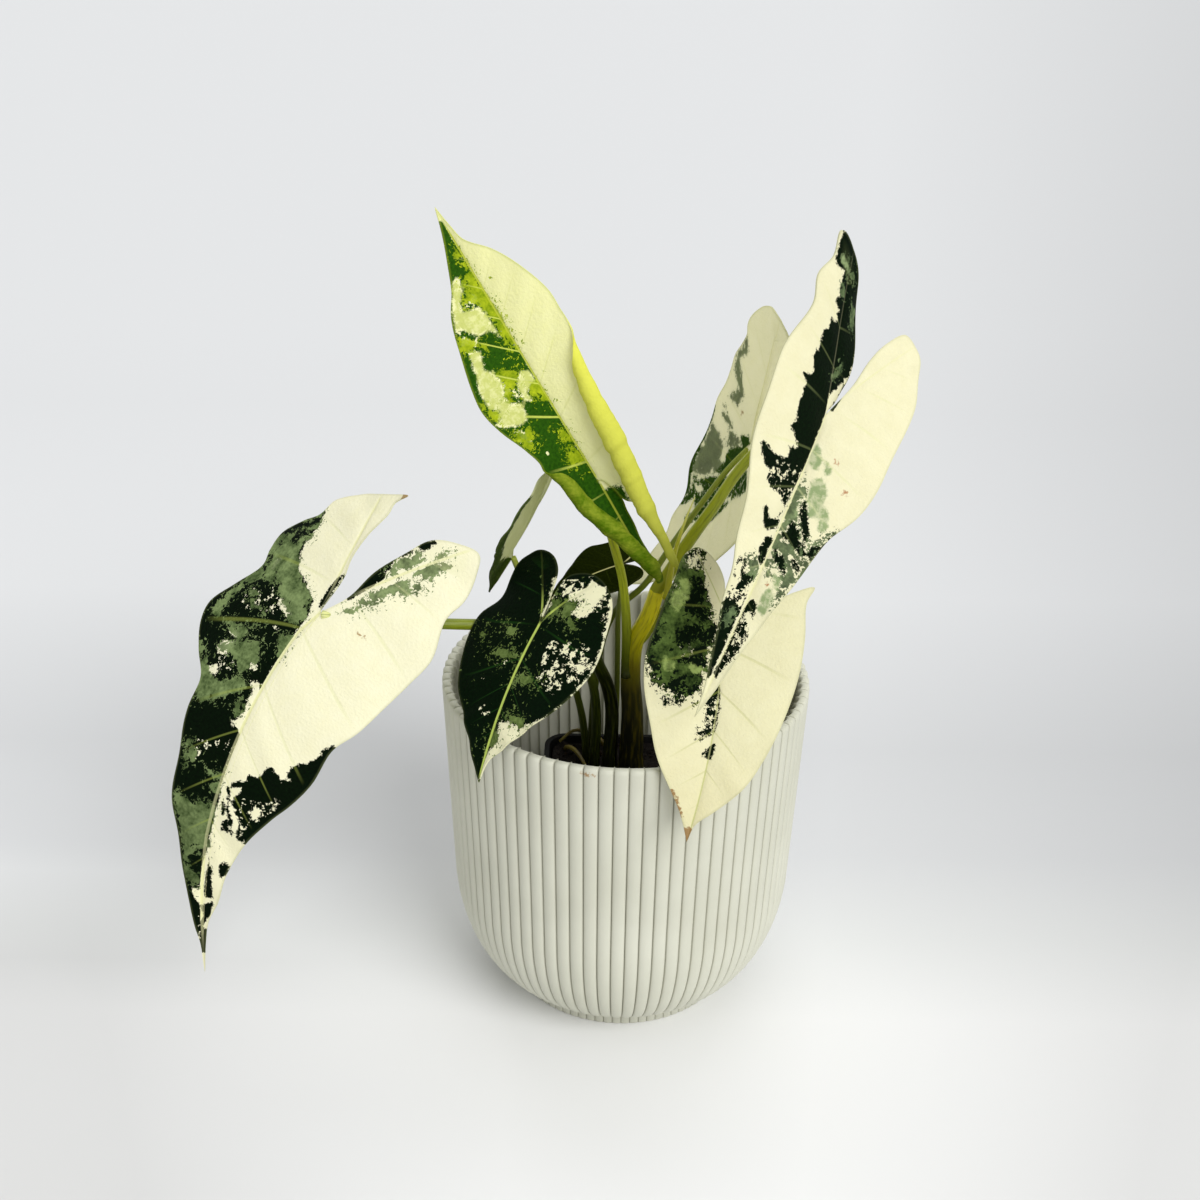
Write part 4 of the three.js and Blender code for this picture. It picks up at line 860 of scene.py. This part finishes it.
LEAVES["front_leaf"] = dict(
    node="leaf_f", seat=(33, -32, 178), turned=(-90, -44, -10), bend=(17, 15, -7),
    fold=((12, 10), (17, 10)), curl=-3, length=82, lobe_ribs=((22, -9), (10, -19)), vein_lean=0.05,
    veins=[-26, -13, -1, 13, 29, 43, 57, 69, 78], quilt=0.4, wave=(0.5, 21),
    right=[0.3,-2, -1,-11, 3,-18, 10,-22, 16,-18, 19,-9, 23,0, 26,10, 28,20, 27,33, 22,47, 17,58, 10,67, 4,75,
        0,82],
    left=[0.3,-2, 8,-2, 17,-4, 26,-8, 33,-10, 30,-4, 29,8, 27,22, 24,34, 19,49, 14,60, 6,70, 1,76, 0,82],
    dark=[[8,-18, 7,-7, 4,1, 5,3, 3,4, 3,7, 4,13, 6,17, 7,30, 10,32, 13,37, 19,36, 23,33, 29,23, 28,11, 25,-1,
        20,-10, 17,-18, 11,-22, 7,-21], [0,26, 2,27, 9,35, 8,36, 4,34, 3,35, 5,37, 4,40, 6,42, 7,45, 6,47,
        2,45, 0,45, -1,42, -1,31], [-1,47, 1,49, 2,52, 1,53, -1,53, -2,49]],
    grey=[[18,-19, 9,-23, 7,-3, 4,2, 3,8, 6,25, 11,31, 15,34, 20,33, 25,29, 28,22, 25,11, 23,-1, 19,-7]],
    cream=[[15.5,16.5, 12,15.5, 12,17.5, 14.5,18], [16,-16.5, 13.5,-16, 14,-13.5, 16,-14]],
    speckle=[[16,-21, 6,-21, 9,-12, 15,-12], [29,19, 21,29, 13,32, 13,37, 21,37, 29,26], [19,-10, 12,-8, 15,3,
        23,1], [10,34, -1,28, -2,44, 6,47]],
    black=[[14,-20, 9,-22, 7,-20, 10,-13, 8,-8, 8,-3, 9,-1, 7,1, 5,1, 5,4, 11,5, 11,2, 15,3, 15,-2, 13,-4,
        12,-9, 10,-12, 15,-16], [15,9, 11,6, 8,8, 7,11, 8,12, 13,13, 15,15, 18,15, 18,11], [8,9, 4,5, 2,5,
        3,13, 8,13], [12,16, 7.5,14, 4.5,14, 5,16, 8.5,16.5, 11,18], [16,19, 5,17, 6,22, 14,21], [27,16,
        26,13.5, 24,12.5, 24.5,15.5, 26.5,17], [29,20, 27,21, 26,23, 23,23, 21,24, 22,25, 24,26, 22,29, 24,30,
        29,23], [18,28, 12,25, 15,29, 11,30, 13,33, 15,34, 19,33, 18,35, 16,36, 19,38, 21,36, 21,31, 19,30,
        16,31], [7.5,25, 5.5,23, 6,25.5]],
    pale=[[17,-10, 13,-9, 14,-3, 18,3, 21,1, 20,-3, 17,-6], [12,21, 7,22, 7,24, 11.5,24], [21.5,20.5, 18,21,
        18,25, 21,24.5]],
    scar=[[-3,77, 3,77, 2,86, -2,86], [3,79, 7,72, 11,66, 9,66, 4,74]],
    look=dict(cream=("#e4dfb6", "#ece8c4"), cream_tip="#d3c793", grey=("#16280a", "#62793a"), pale="#9bae62",
        pepper=3.4, fleck=3.6, rib="#c9ca8e", rib_width=0.4, seed=(11, 41, 0), speck=0.8, vein_strength=0.3,
        scar="#8a5a1e", jag=0.85, vein_in_cream="#cfce96", vein_on_cream=0.55, rib_on_dark=0.5))
LEAVES["small_dark_leaf"] = dict(
    node="leaf_c", seat=(-31, -35, 174), turned=(-128, -41, 7), bend=(20, -5, 0),
    fold=((-2, 10), (2, 10)), curl=-3, length=60, lobe_ribs=((12, -21), (15, -22)), vein_lean=0.12,
    veins=[-19, -9.5, 1.2, 14.5, 24, 33, 42, 50, 56], quilt=0.4, wave=(0.5, 15),
    right=[0.3,-1, 4,-18, 8,-23, 13,-26, 20,-26, 25,-22, 25,-13, 24,-4, 28,4, 29,12, 26,21, 21,31, 14,40,
        8,48, 4,54, 0,60],
    left=[0.3,-1, 0,-19, 4,-22, 11,-23, 18,-20, 24,-13, 27,-3, 30,9, 27,20, 21,31, 14,39, 8,46, 3,51, 1,55,
        0,60],
    dark=[[-60,-60, 60,-60, 60,90, -60,90]],
    cream=[[-10,-21, -17,-20, -18,-18, -16,-7, -14,-6, -10,-7, -12,-13, -6,-11, -5,-13, -10,-18], [-20,-18,
        -24,-10, -28,1, -30,12, -25,26, -21,32, -12,38, -7,37, -2,38, -4,45, -1,49, 0,59, -3,57, -18,45,
        -33,27, -38,14, -35,-1, -26,-16], [5,-17, 3,-13, 1,-2, 0,-3, 0,-8, 2,-17], [-23,10, -28,9, -27,12,
        -25,13]],
    grey=[[13,16, 11,14, 4,13, 1,14, 8,17], [14,5, 8,5, 8,8, 10,8], [26,9, 20,11, 22,12], [0,20, -7,19,
        -10,20, -10,22, -1,24], [-5,-10, -11,-12, -10,-6, -16,-2, -14,-1, -7,-5], [-4,35, -12,34, -14,37,
        -12,38], [-1,40, -4,42, -4,45, -2,47, 0,47], [1,-13, -3,-10, -5,-6, -4,-2, -1,-5]],
    speckle=[[-6,5, -19,1, -24,1, -28,8, -28,13, -20,25, -10,20], [2,-18, -8,-22, -12,-18, -3,-11, 1,-12],
        [-18,-16, -23,-11, -23,-8, -16,-11], [10,35, 3,31, 1,35, 6,39], [16,24, 8,25, 13,27], [12,17, 4,16,
        4,19, 9,21]],
    look=dict(cream=("#efecc4", "#f6f3d2"), dark=("#020802", "#061a06"), grey=("#4c5f2c", "#7c9050"),
        rib="#c2d468", rib_width=0.62, vein="#1f4514", vein_strength=0.6, seed=(5, 19, 0), speck=0.72,
        lobe_rib=0.05, lobe_end=-13.0, fleck=6.4, margin_strength=0.1))
LEAVES["rolled_leaf"] = dict(
    node="leaf_d", seat=(-12, -6, 217), turned=(165, 57, -66), bend=(10, 1, 0),
    fold=((20, 20), (20, 20)), curl=-3, length=109, lobe_ribs=((1.5, -44), (9, -44)), vein_lean=0.15,
    veins=[-40, -28, -16, -6, 7, 25.6, 39, 52, 65, 77, 88, 98], quilt=0.35, wave=(0.5, 29),
    rolls={1: ([-46,8, -31,9.8, -17,10.8, 0,13, 9,13.9, 20,14.4, 36,16, 45,17.6, 50,19.5, 56,20.8, 60,40],
        [-46,0.8, -31,1.8, -17,3, 0,3.7, 9,4.2, 20,3.7, 36,2.1, 45,2, 50,1.6, 56,1.5]), -1: ([-43,0.2,
        -38,0.8, -30,2.6, -22,4.6, -16,6.4, -8,9.4, -2,10.4, 5,11.2, 10,12.6, 12,13.8, 14.2,15.2, 18,40],
        [-43,1.3, -38,2.4, -30,2.8, -22,3.3, -16,3.7, -8,2.8, -2,2.4, 5,2.3, 10,2, 12,1.8, 14.2,1.2])},
    right=[0.3,-1, 1.6,-1.6, 3.1,-5.3, 4.7,-11.7, 8,-15, 9,-22, 9,-32, 8.4,-41, 8.6,-46, 11,-43, 15,-37,
        20,-30, 26,-18, 31.5,-3, 34.5,9, 32.5,20, 26,36, 21.2,50, 20.4,57, 20,65, 16,77, 10,87, 3,95, 1.4,101,
        0,109],
    left=[0.3,-1, -1.6,-1.6, -3.1,-5.3, -4.1,-11.4, -3.4,-15.3, -3,-21.6, -2.2,-27, -2.2,-33, -2.6,-39,
        -1,-45, 3,-44, 6,-42, 12.5,-37, 16.5,-30, 20.5,-22, 25,-15, 22.5,-8, 21,-2, 21,5, 20.5,9, 15.4,14,
        17,22, 21,32, 23,41, 22,50, 19,62, 15,74, 10,82, 6,91, 2,102, 0,109],
    dark=[[6,-60, 6,-5, -0.1,-5, -0.1,104, -40,104, -40,-60]],
    cream=[[-8,84, -6,84, -7,80, -10,77, -11,73, -5,72, -4,69, -4,60, -4,62, -6,64, -10,64, -14,69, -16,69,
        -13,76], [-16,61, -13,59, -15,53, -13,51, -12,48, -12,45, -14,42, -13,38, -10,37, -10,33, -11,31,
        -14,31, -19,33, -21,35, -18,36, -17,39, -20,41, -20,48, -18,52], [-4,46, -1,45, -1,41, -3,41, -6,39,
        -6,36, -8,37, -7,43]],
    grey=[[-1,94, 1,66, 0,53, -3,54, -3,66, -5,83, -2,86, -3,91], [-6,82, -2,77, -1,73, -4,71, -5,74, -11,74],
        [-16,68, -13,65, -12,62, -14,60, -18,60, -19,63, -18,66], [-11,62, -9,60, -10,58, -12,60], [-10,50,
        -5,48, -5,44, -11,41, -11,38, -14,39, -14,42, -12,45, -12,48], [-4,42, 0,41, 0,32, -3,34, -5,38],
        [-22,44, -17,39, -18,36, -20,36, -22,38], [-18,30, -11,28, -12,25, -15,21, -17,22], [-4,15, -1,14,
        0,8, -3,7, -6,9, -6,12], [-3,23, 0,20, -1,16, -4,18]],
    speckle=[[-17,31, -10,28, -12,23, -16,20, -18,23, -19,28], [-11,49, -8,43, -8,39, -12,38, -14,42],
        [-16,69, -10,64, -12,60, -18,60, -18,65], [-7,80, -2,77, -2,72, -5,72, -11,74], [-10,20, -9,17,
        -12,15, -13,18]],
    look=dict(cream=("#f3f2b4", "#f8f7c6"), dark=("#123803", "#37680a"), grey=("#6f8c08", "#bccb24"),
        pale="#cdd37c", rib="#c2ca46", rib_width=0.5, vein="#d2de62", vein_strength=0.95, seed=(17, 23, 0),
        jag=0.6, stray=1.6, grey_jag=1.0, fleck=4.6, pepper=2.8, under="#e9ea50", under_base="#a3a80e",
        under_green="#557604", under_pale="#b3bd3a", under_strength=0.9, blur=0.3, translucence=0.25,
        margin="#a8b43a", margin_strength=0.35, rib_on_dark=0.7, cream_tip="#f3f2b8", speck=0.75,
        vein_in_cream="#cfd468", lobe_rib=1.0))
LEAVES["rolled_leaf"]["pale"] = LEAVES["rolled_leaf"]["cream"]
LEAVES["back_leaf"] = dict(
    node="leaf_h", seat=(46, 41, 211), turned=(122, -62, 114), bend=(30, 0, 0),
    fold=((-14, -8), (-10, -8)), curl=1.5, length=96, lobe_ribs=((14, -48), (17, -38)), vein_lean=0.1,
    veins=[-44, -30, -16, -4, 12, 26, 40, 53, 65, 77, 88], quilt=0.4, wave=(0.8, 25),
    right=[0.5,-2, 0.5,-13, 1,-24, 5,-35, 12,-42, 20,-44, 26,-41, 30,-32, 32,-20, 34,-4, 35,12, 34,26, 30,40,
        24,54, 16,68, 9,80, 3,90, 0,96],
    left=[0.3,-2, 0.5,-15, 0.5,-34, 2,-46, 8,-51.5, 14,-52, 22,-51, 28,-47, 30,-43.5, 31.5,-38, 31.5,-34,
        30,-31, 32,-24, 34,-16, 32,-10, 30.5,-4, 32,8, 31,18, 28,28, 24,40, 18,48, 14,54, 11,62, 6,74, 3,84,
        0,96],
    dark=[[-8,2, -3,-4, 0,-2, -1,6, -4,15, -6,24, -10,26, -9,18, -10,12, -4,4], [-20,40, -16,37, -12,32,
        -6,24, 0,18, 10,2, 20,2, 19,6, 12,18, 10,27, 8,37, -3,50, -6,54, -8,52, -4,46, -11,45, -13,52, -16,50,
        -16,44], [-33,11, -32,18, -29,29, -25,40, -18,49, -14,55, -13,52, -16,47, -22,39, -27,28, -30,18,
        -31.5,10]],
    grey=[[-29,-31, -26,-24, -30,-18, -24,-16, -19,-12, -17,-11, -17,-4, -20,-4, -24,-2, -24,-6, -22,-10,
        -29,-12, -33,-16, -31,-23, -30,-28], [-27,5, -24,2, -23,4], [-26,8, -20,4, -16,4, -14,5, -18,7,
        -24,9], [-29,18, -23,16, -16,15, -14,15, -12,20, -8,22, -10,26, -14,33, -21,40, -24,35, -26,29,
        -28,22], [-16,8, -9,4, -5,2, -4,4, -8,10, -13,13]],
    cream=[[-16,42, -12,37, -9,38, -12,42], [4,26, 10,18, 13,18, 8,24], [-18,38, -16,34, -13,34, -16,38]],
    speckle=[[-20,40, -10,27, -6,15, 10,2, 19,6, 10,27, -3,50, -6,54, -14,53]],
    scar=[[-14,-6, -12,-7, -12,-4]],
    look=dict(cream=("#f7f5d8", "#fcfae4"), cream_tip="#f6f4d8", dark=("#1e4206", "#4d7c18"), grey=("#485e28",
        "#788a54"), fleck=2.0, pepper=2.4, rib="#e4e2ae", rib_width=0.4, vein="#8a9a3a", under="#f8f6da",
        under_base="#f8f6da", speck=0.45, stray=2.0, under_green="#4f7022", under_strength=0.3, seed=(8, 29,
        0), translucence=0.68, margin="#a3aa5a", margin_strength=0.3, blur=0.3))
LEAVES["lowest_leaf"] = dict(
    node="leaf_j", seat=(-2, 28.5, 166.5), turned=(-143, 3, 1), bend=(26, 0, 0),
    fold=((5, 5), (5, 5)), curl=-3, length=38, lobe_ribs=((7, -3), (9, -15)), vein_lean=0.1,
    veins=[-14, -7, 0.5, 8, 16, 24, 31], quilt=0.3, wave=(0.3, 11),
    right=[(max(x, 0.3) * 38 / 115 * 1.75, y * 38 / 115) for x, y in np.reshape([0.3,-2, -1,-14, 1,-28, 5,-41,
        12,-50, 21,-54, 28,-52, 31,-44, 32,-34, 33,-22, 33,-5, 30,16, 24,36, 17,53, 11,73, 6,90, 2,104,
        0,115], (-1, 2))],
    left=[0.5,-1, 5,-3, 11,-2, 16,4, 18,12, 15,22, 8,31, 0,38],
    dark=[[-60,-60, 60,-60, 60,90, -60,90]],
    look=dict(dark=("#0c1203", "#232c08"), rib="#c9c48a", rib_width=0.5, vein="#2c360c", seed=(2, 2, 0),
        under_green="#1c260a", translucence=0.05, margin_strength=0.05, shine=0.0, sheen=0.0))
LEAVES["small_back_leaf"] = dict(
    node="leaf_b", seat=(-44, 8, 180), turned=(-162, -58, 28), bend=(5, 0, 0),
    fold=((12, 10), (12, 10)), curl=-3, length=24, lobe_ribs=((13, -34), (13, -34)), vein_lean=0.1,
    veins=[-30, -18, -9, 1, 9, 15, 20], quilt=0.3, wave=(0.4, 17),
    right=[0.5,-2, 2,-14, 6,-26, 12,-34, 18,-37, 23,-32, 24,-22, 24,-12, 18,-4, 11,3, 5,10, 0,17],
    left=[0.5,-2, 2,-14, 6,-26, 12,-35, 18,-39, 23,-33, 24,-22, 27,-14, 26,-7, 20,0, 11,8, 4,13, 0,17],
    dark=[[-32,-28, -22,-27, -20,-16, -18,-6, -10,1, 8,1, 18,-6, 21,-14, 21,-24, 30,-24, 30,30, -32,30]],
    look=dict(cream=("#d0d3a2", "#dfe1bc"), dark=("#2a3d0e", "#50681a"), rib="#b3b668", rib_width=0.4,
        jag=0.9, lobe_rib=0.4, seed=(6, 13, 0), translucence=0.55, under="#d8dbb0", under_green="#4a5e20"))

for name, leaf in LEAVES.items():
    # living leaf tissue: cream where cells lack green, near black where both layers are full of it
    skin = blade_skin(name.replace("_", " ") + ", velvety leaf tissue", {**LOOK, **leaf["look"]})
    place(blade(name, leaf), skin, "leaf_tissue", leaf["node"])

# ---- Floor, light and camera ---------------------------------------------------------------------------
# A seamless pale studio floor, two large soft lights from the right and the back, and soft light from all
# round. The floor's colour holds painted light and shade that change with the distance from the camera, and
# painted shade darkens it to both sides.

FLOOR_CENTRE = 8  # m behind the pot
deselect()
bpy.ops.mesh.primitive_plane_add(size=24, location=(0, FLOOR_CENTRE, 0))
floor = bpy.context.object
floor.name = "studio_floor"
paper, tree = new_material("matt white studio paper, painted light falloff")
spot = node(tree, "SeparateXYZ", [node(tree, "TexCoord").outputs["Object"]]).outputs
# painted light and shade: the paper is painted lightest in front of the pot and darkest just behind it
depth = node(tree, "MapRange", [spot["Y"], -0.15 - FLOOR_CENTRE, 0.85 - FLOOR_CENTRE])
falloff = node(tree, "ValToRGB", [depth], [
    (0, "#e6e6e6"), (0.11, "#e4e4e4"), (0.16, "#d7d8d8"), (0.22, "#cbccce"), (0.31, "#c6c7c9"),
    (0.48, "#d0d1d3"), (0.8, "#cccdcf"), (1, "#cdced0")])
# painted shade towards the sides: to the right all along, and to the left only in front
away = node(tree, "Math", [spot["Y"], FLOOR_CENTRE + 0.53], operation="ADD")
aside = node(tree, "Math", [spot["X"], away], operation="DIVIDE")
painted_right_shade = node(tree, "MapRange", [aside, 0.16, 0.45, 0, 0.22])
painted_left_shade = node(tree, "MapRange", [aside, -0.1, -0.42, 0, 0.24])
in_front = node(tree, "MapRange", [depth, 0.2, 0.14])
painted_edge_shade = node(tree, "Math", [painted_left_shade, in_front, painted_right_shade], operation="MULTIPLY_ADD")
painted_floor_light = node(tree, "Mix", {"Factor": painted_edge_shade, "A": falloff, "B": "#101010"}, data_type="RGBA")
sheet = node(tree, "BsdfPrincipled", {"Base Color": painted_floor_light, "Roughness": 0.9, "Specular IOR Level": 0.1})
node(tree, "OutputMaterial", [sheet])
floor.data.materials.append(paper)

scene = bpy.context.scene
scene.view_settings.view_transform = "Standard"
scene.world = bpy.data.worlds.new("soft room")
scene.world.use_nodes = True
sky = scene.world.node_tree.nodes["Background"]
sky.inputs["Color"].default_value = colour("#f9faf8")
sky.inputs["Strength"].default_value = 0.67

for name, shines_from, softness, power in (
        ("soft_window", (0.66, -0.86, 0.85), 38, 2.3),
        ("rear_softbox", (0.05, 0.8, 0.85), 60, 0.85)):
    bpy.ops.object.light_add(type="SUN", location=shines_from)
    lamp = bpy.context.object
    lamp.name = name
    lamp.data.energy, lamp.data.angle = power, math.radians(softness)
    lamp.rotation_euler = Vector(shines_from).to_track_quat("Z", "Y").to_euler()

CAMERA_AT = (-10.26 * MM, -531.59 * MM, 437.65 * MM)
CAMERA_DOWN, CAMERA_ROLL, CAMERA_LENS = 0.4734, 0.0155, 48
camera_data = bpy.data.cameras.new("camera")
camera_data.lens, camera_data.sensor_width = CAMERA_LENS, 36
camera = bpy.data.objects.new("camera", camera_data)
scene.collection.objects.link(camera)
camera.matrix_world = Matrix.Translation(CAMERA_AT) @ Matrix.Rotation(math.pi / 2 - CAMERA_DOWN, 4, "X") \
    @ Matrix.Rotation(CAMERA_ROLL, 4, "Z")
scene.camera = camera
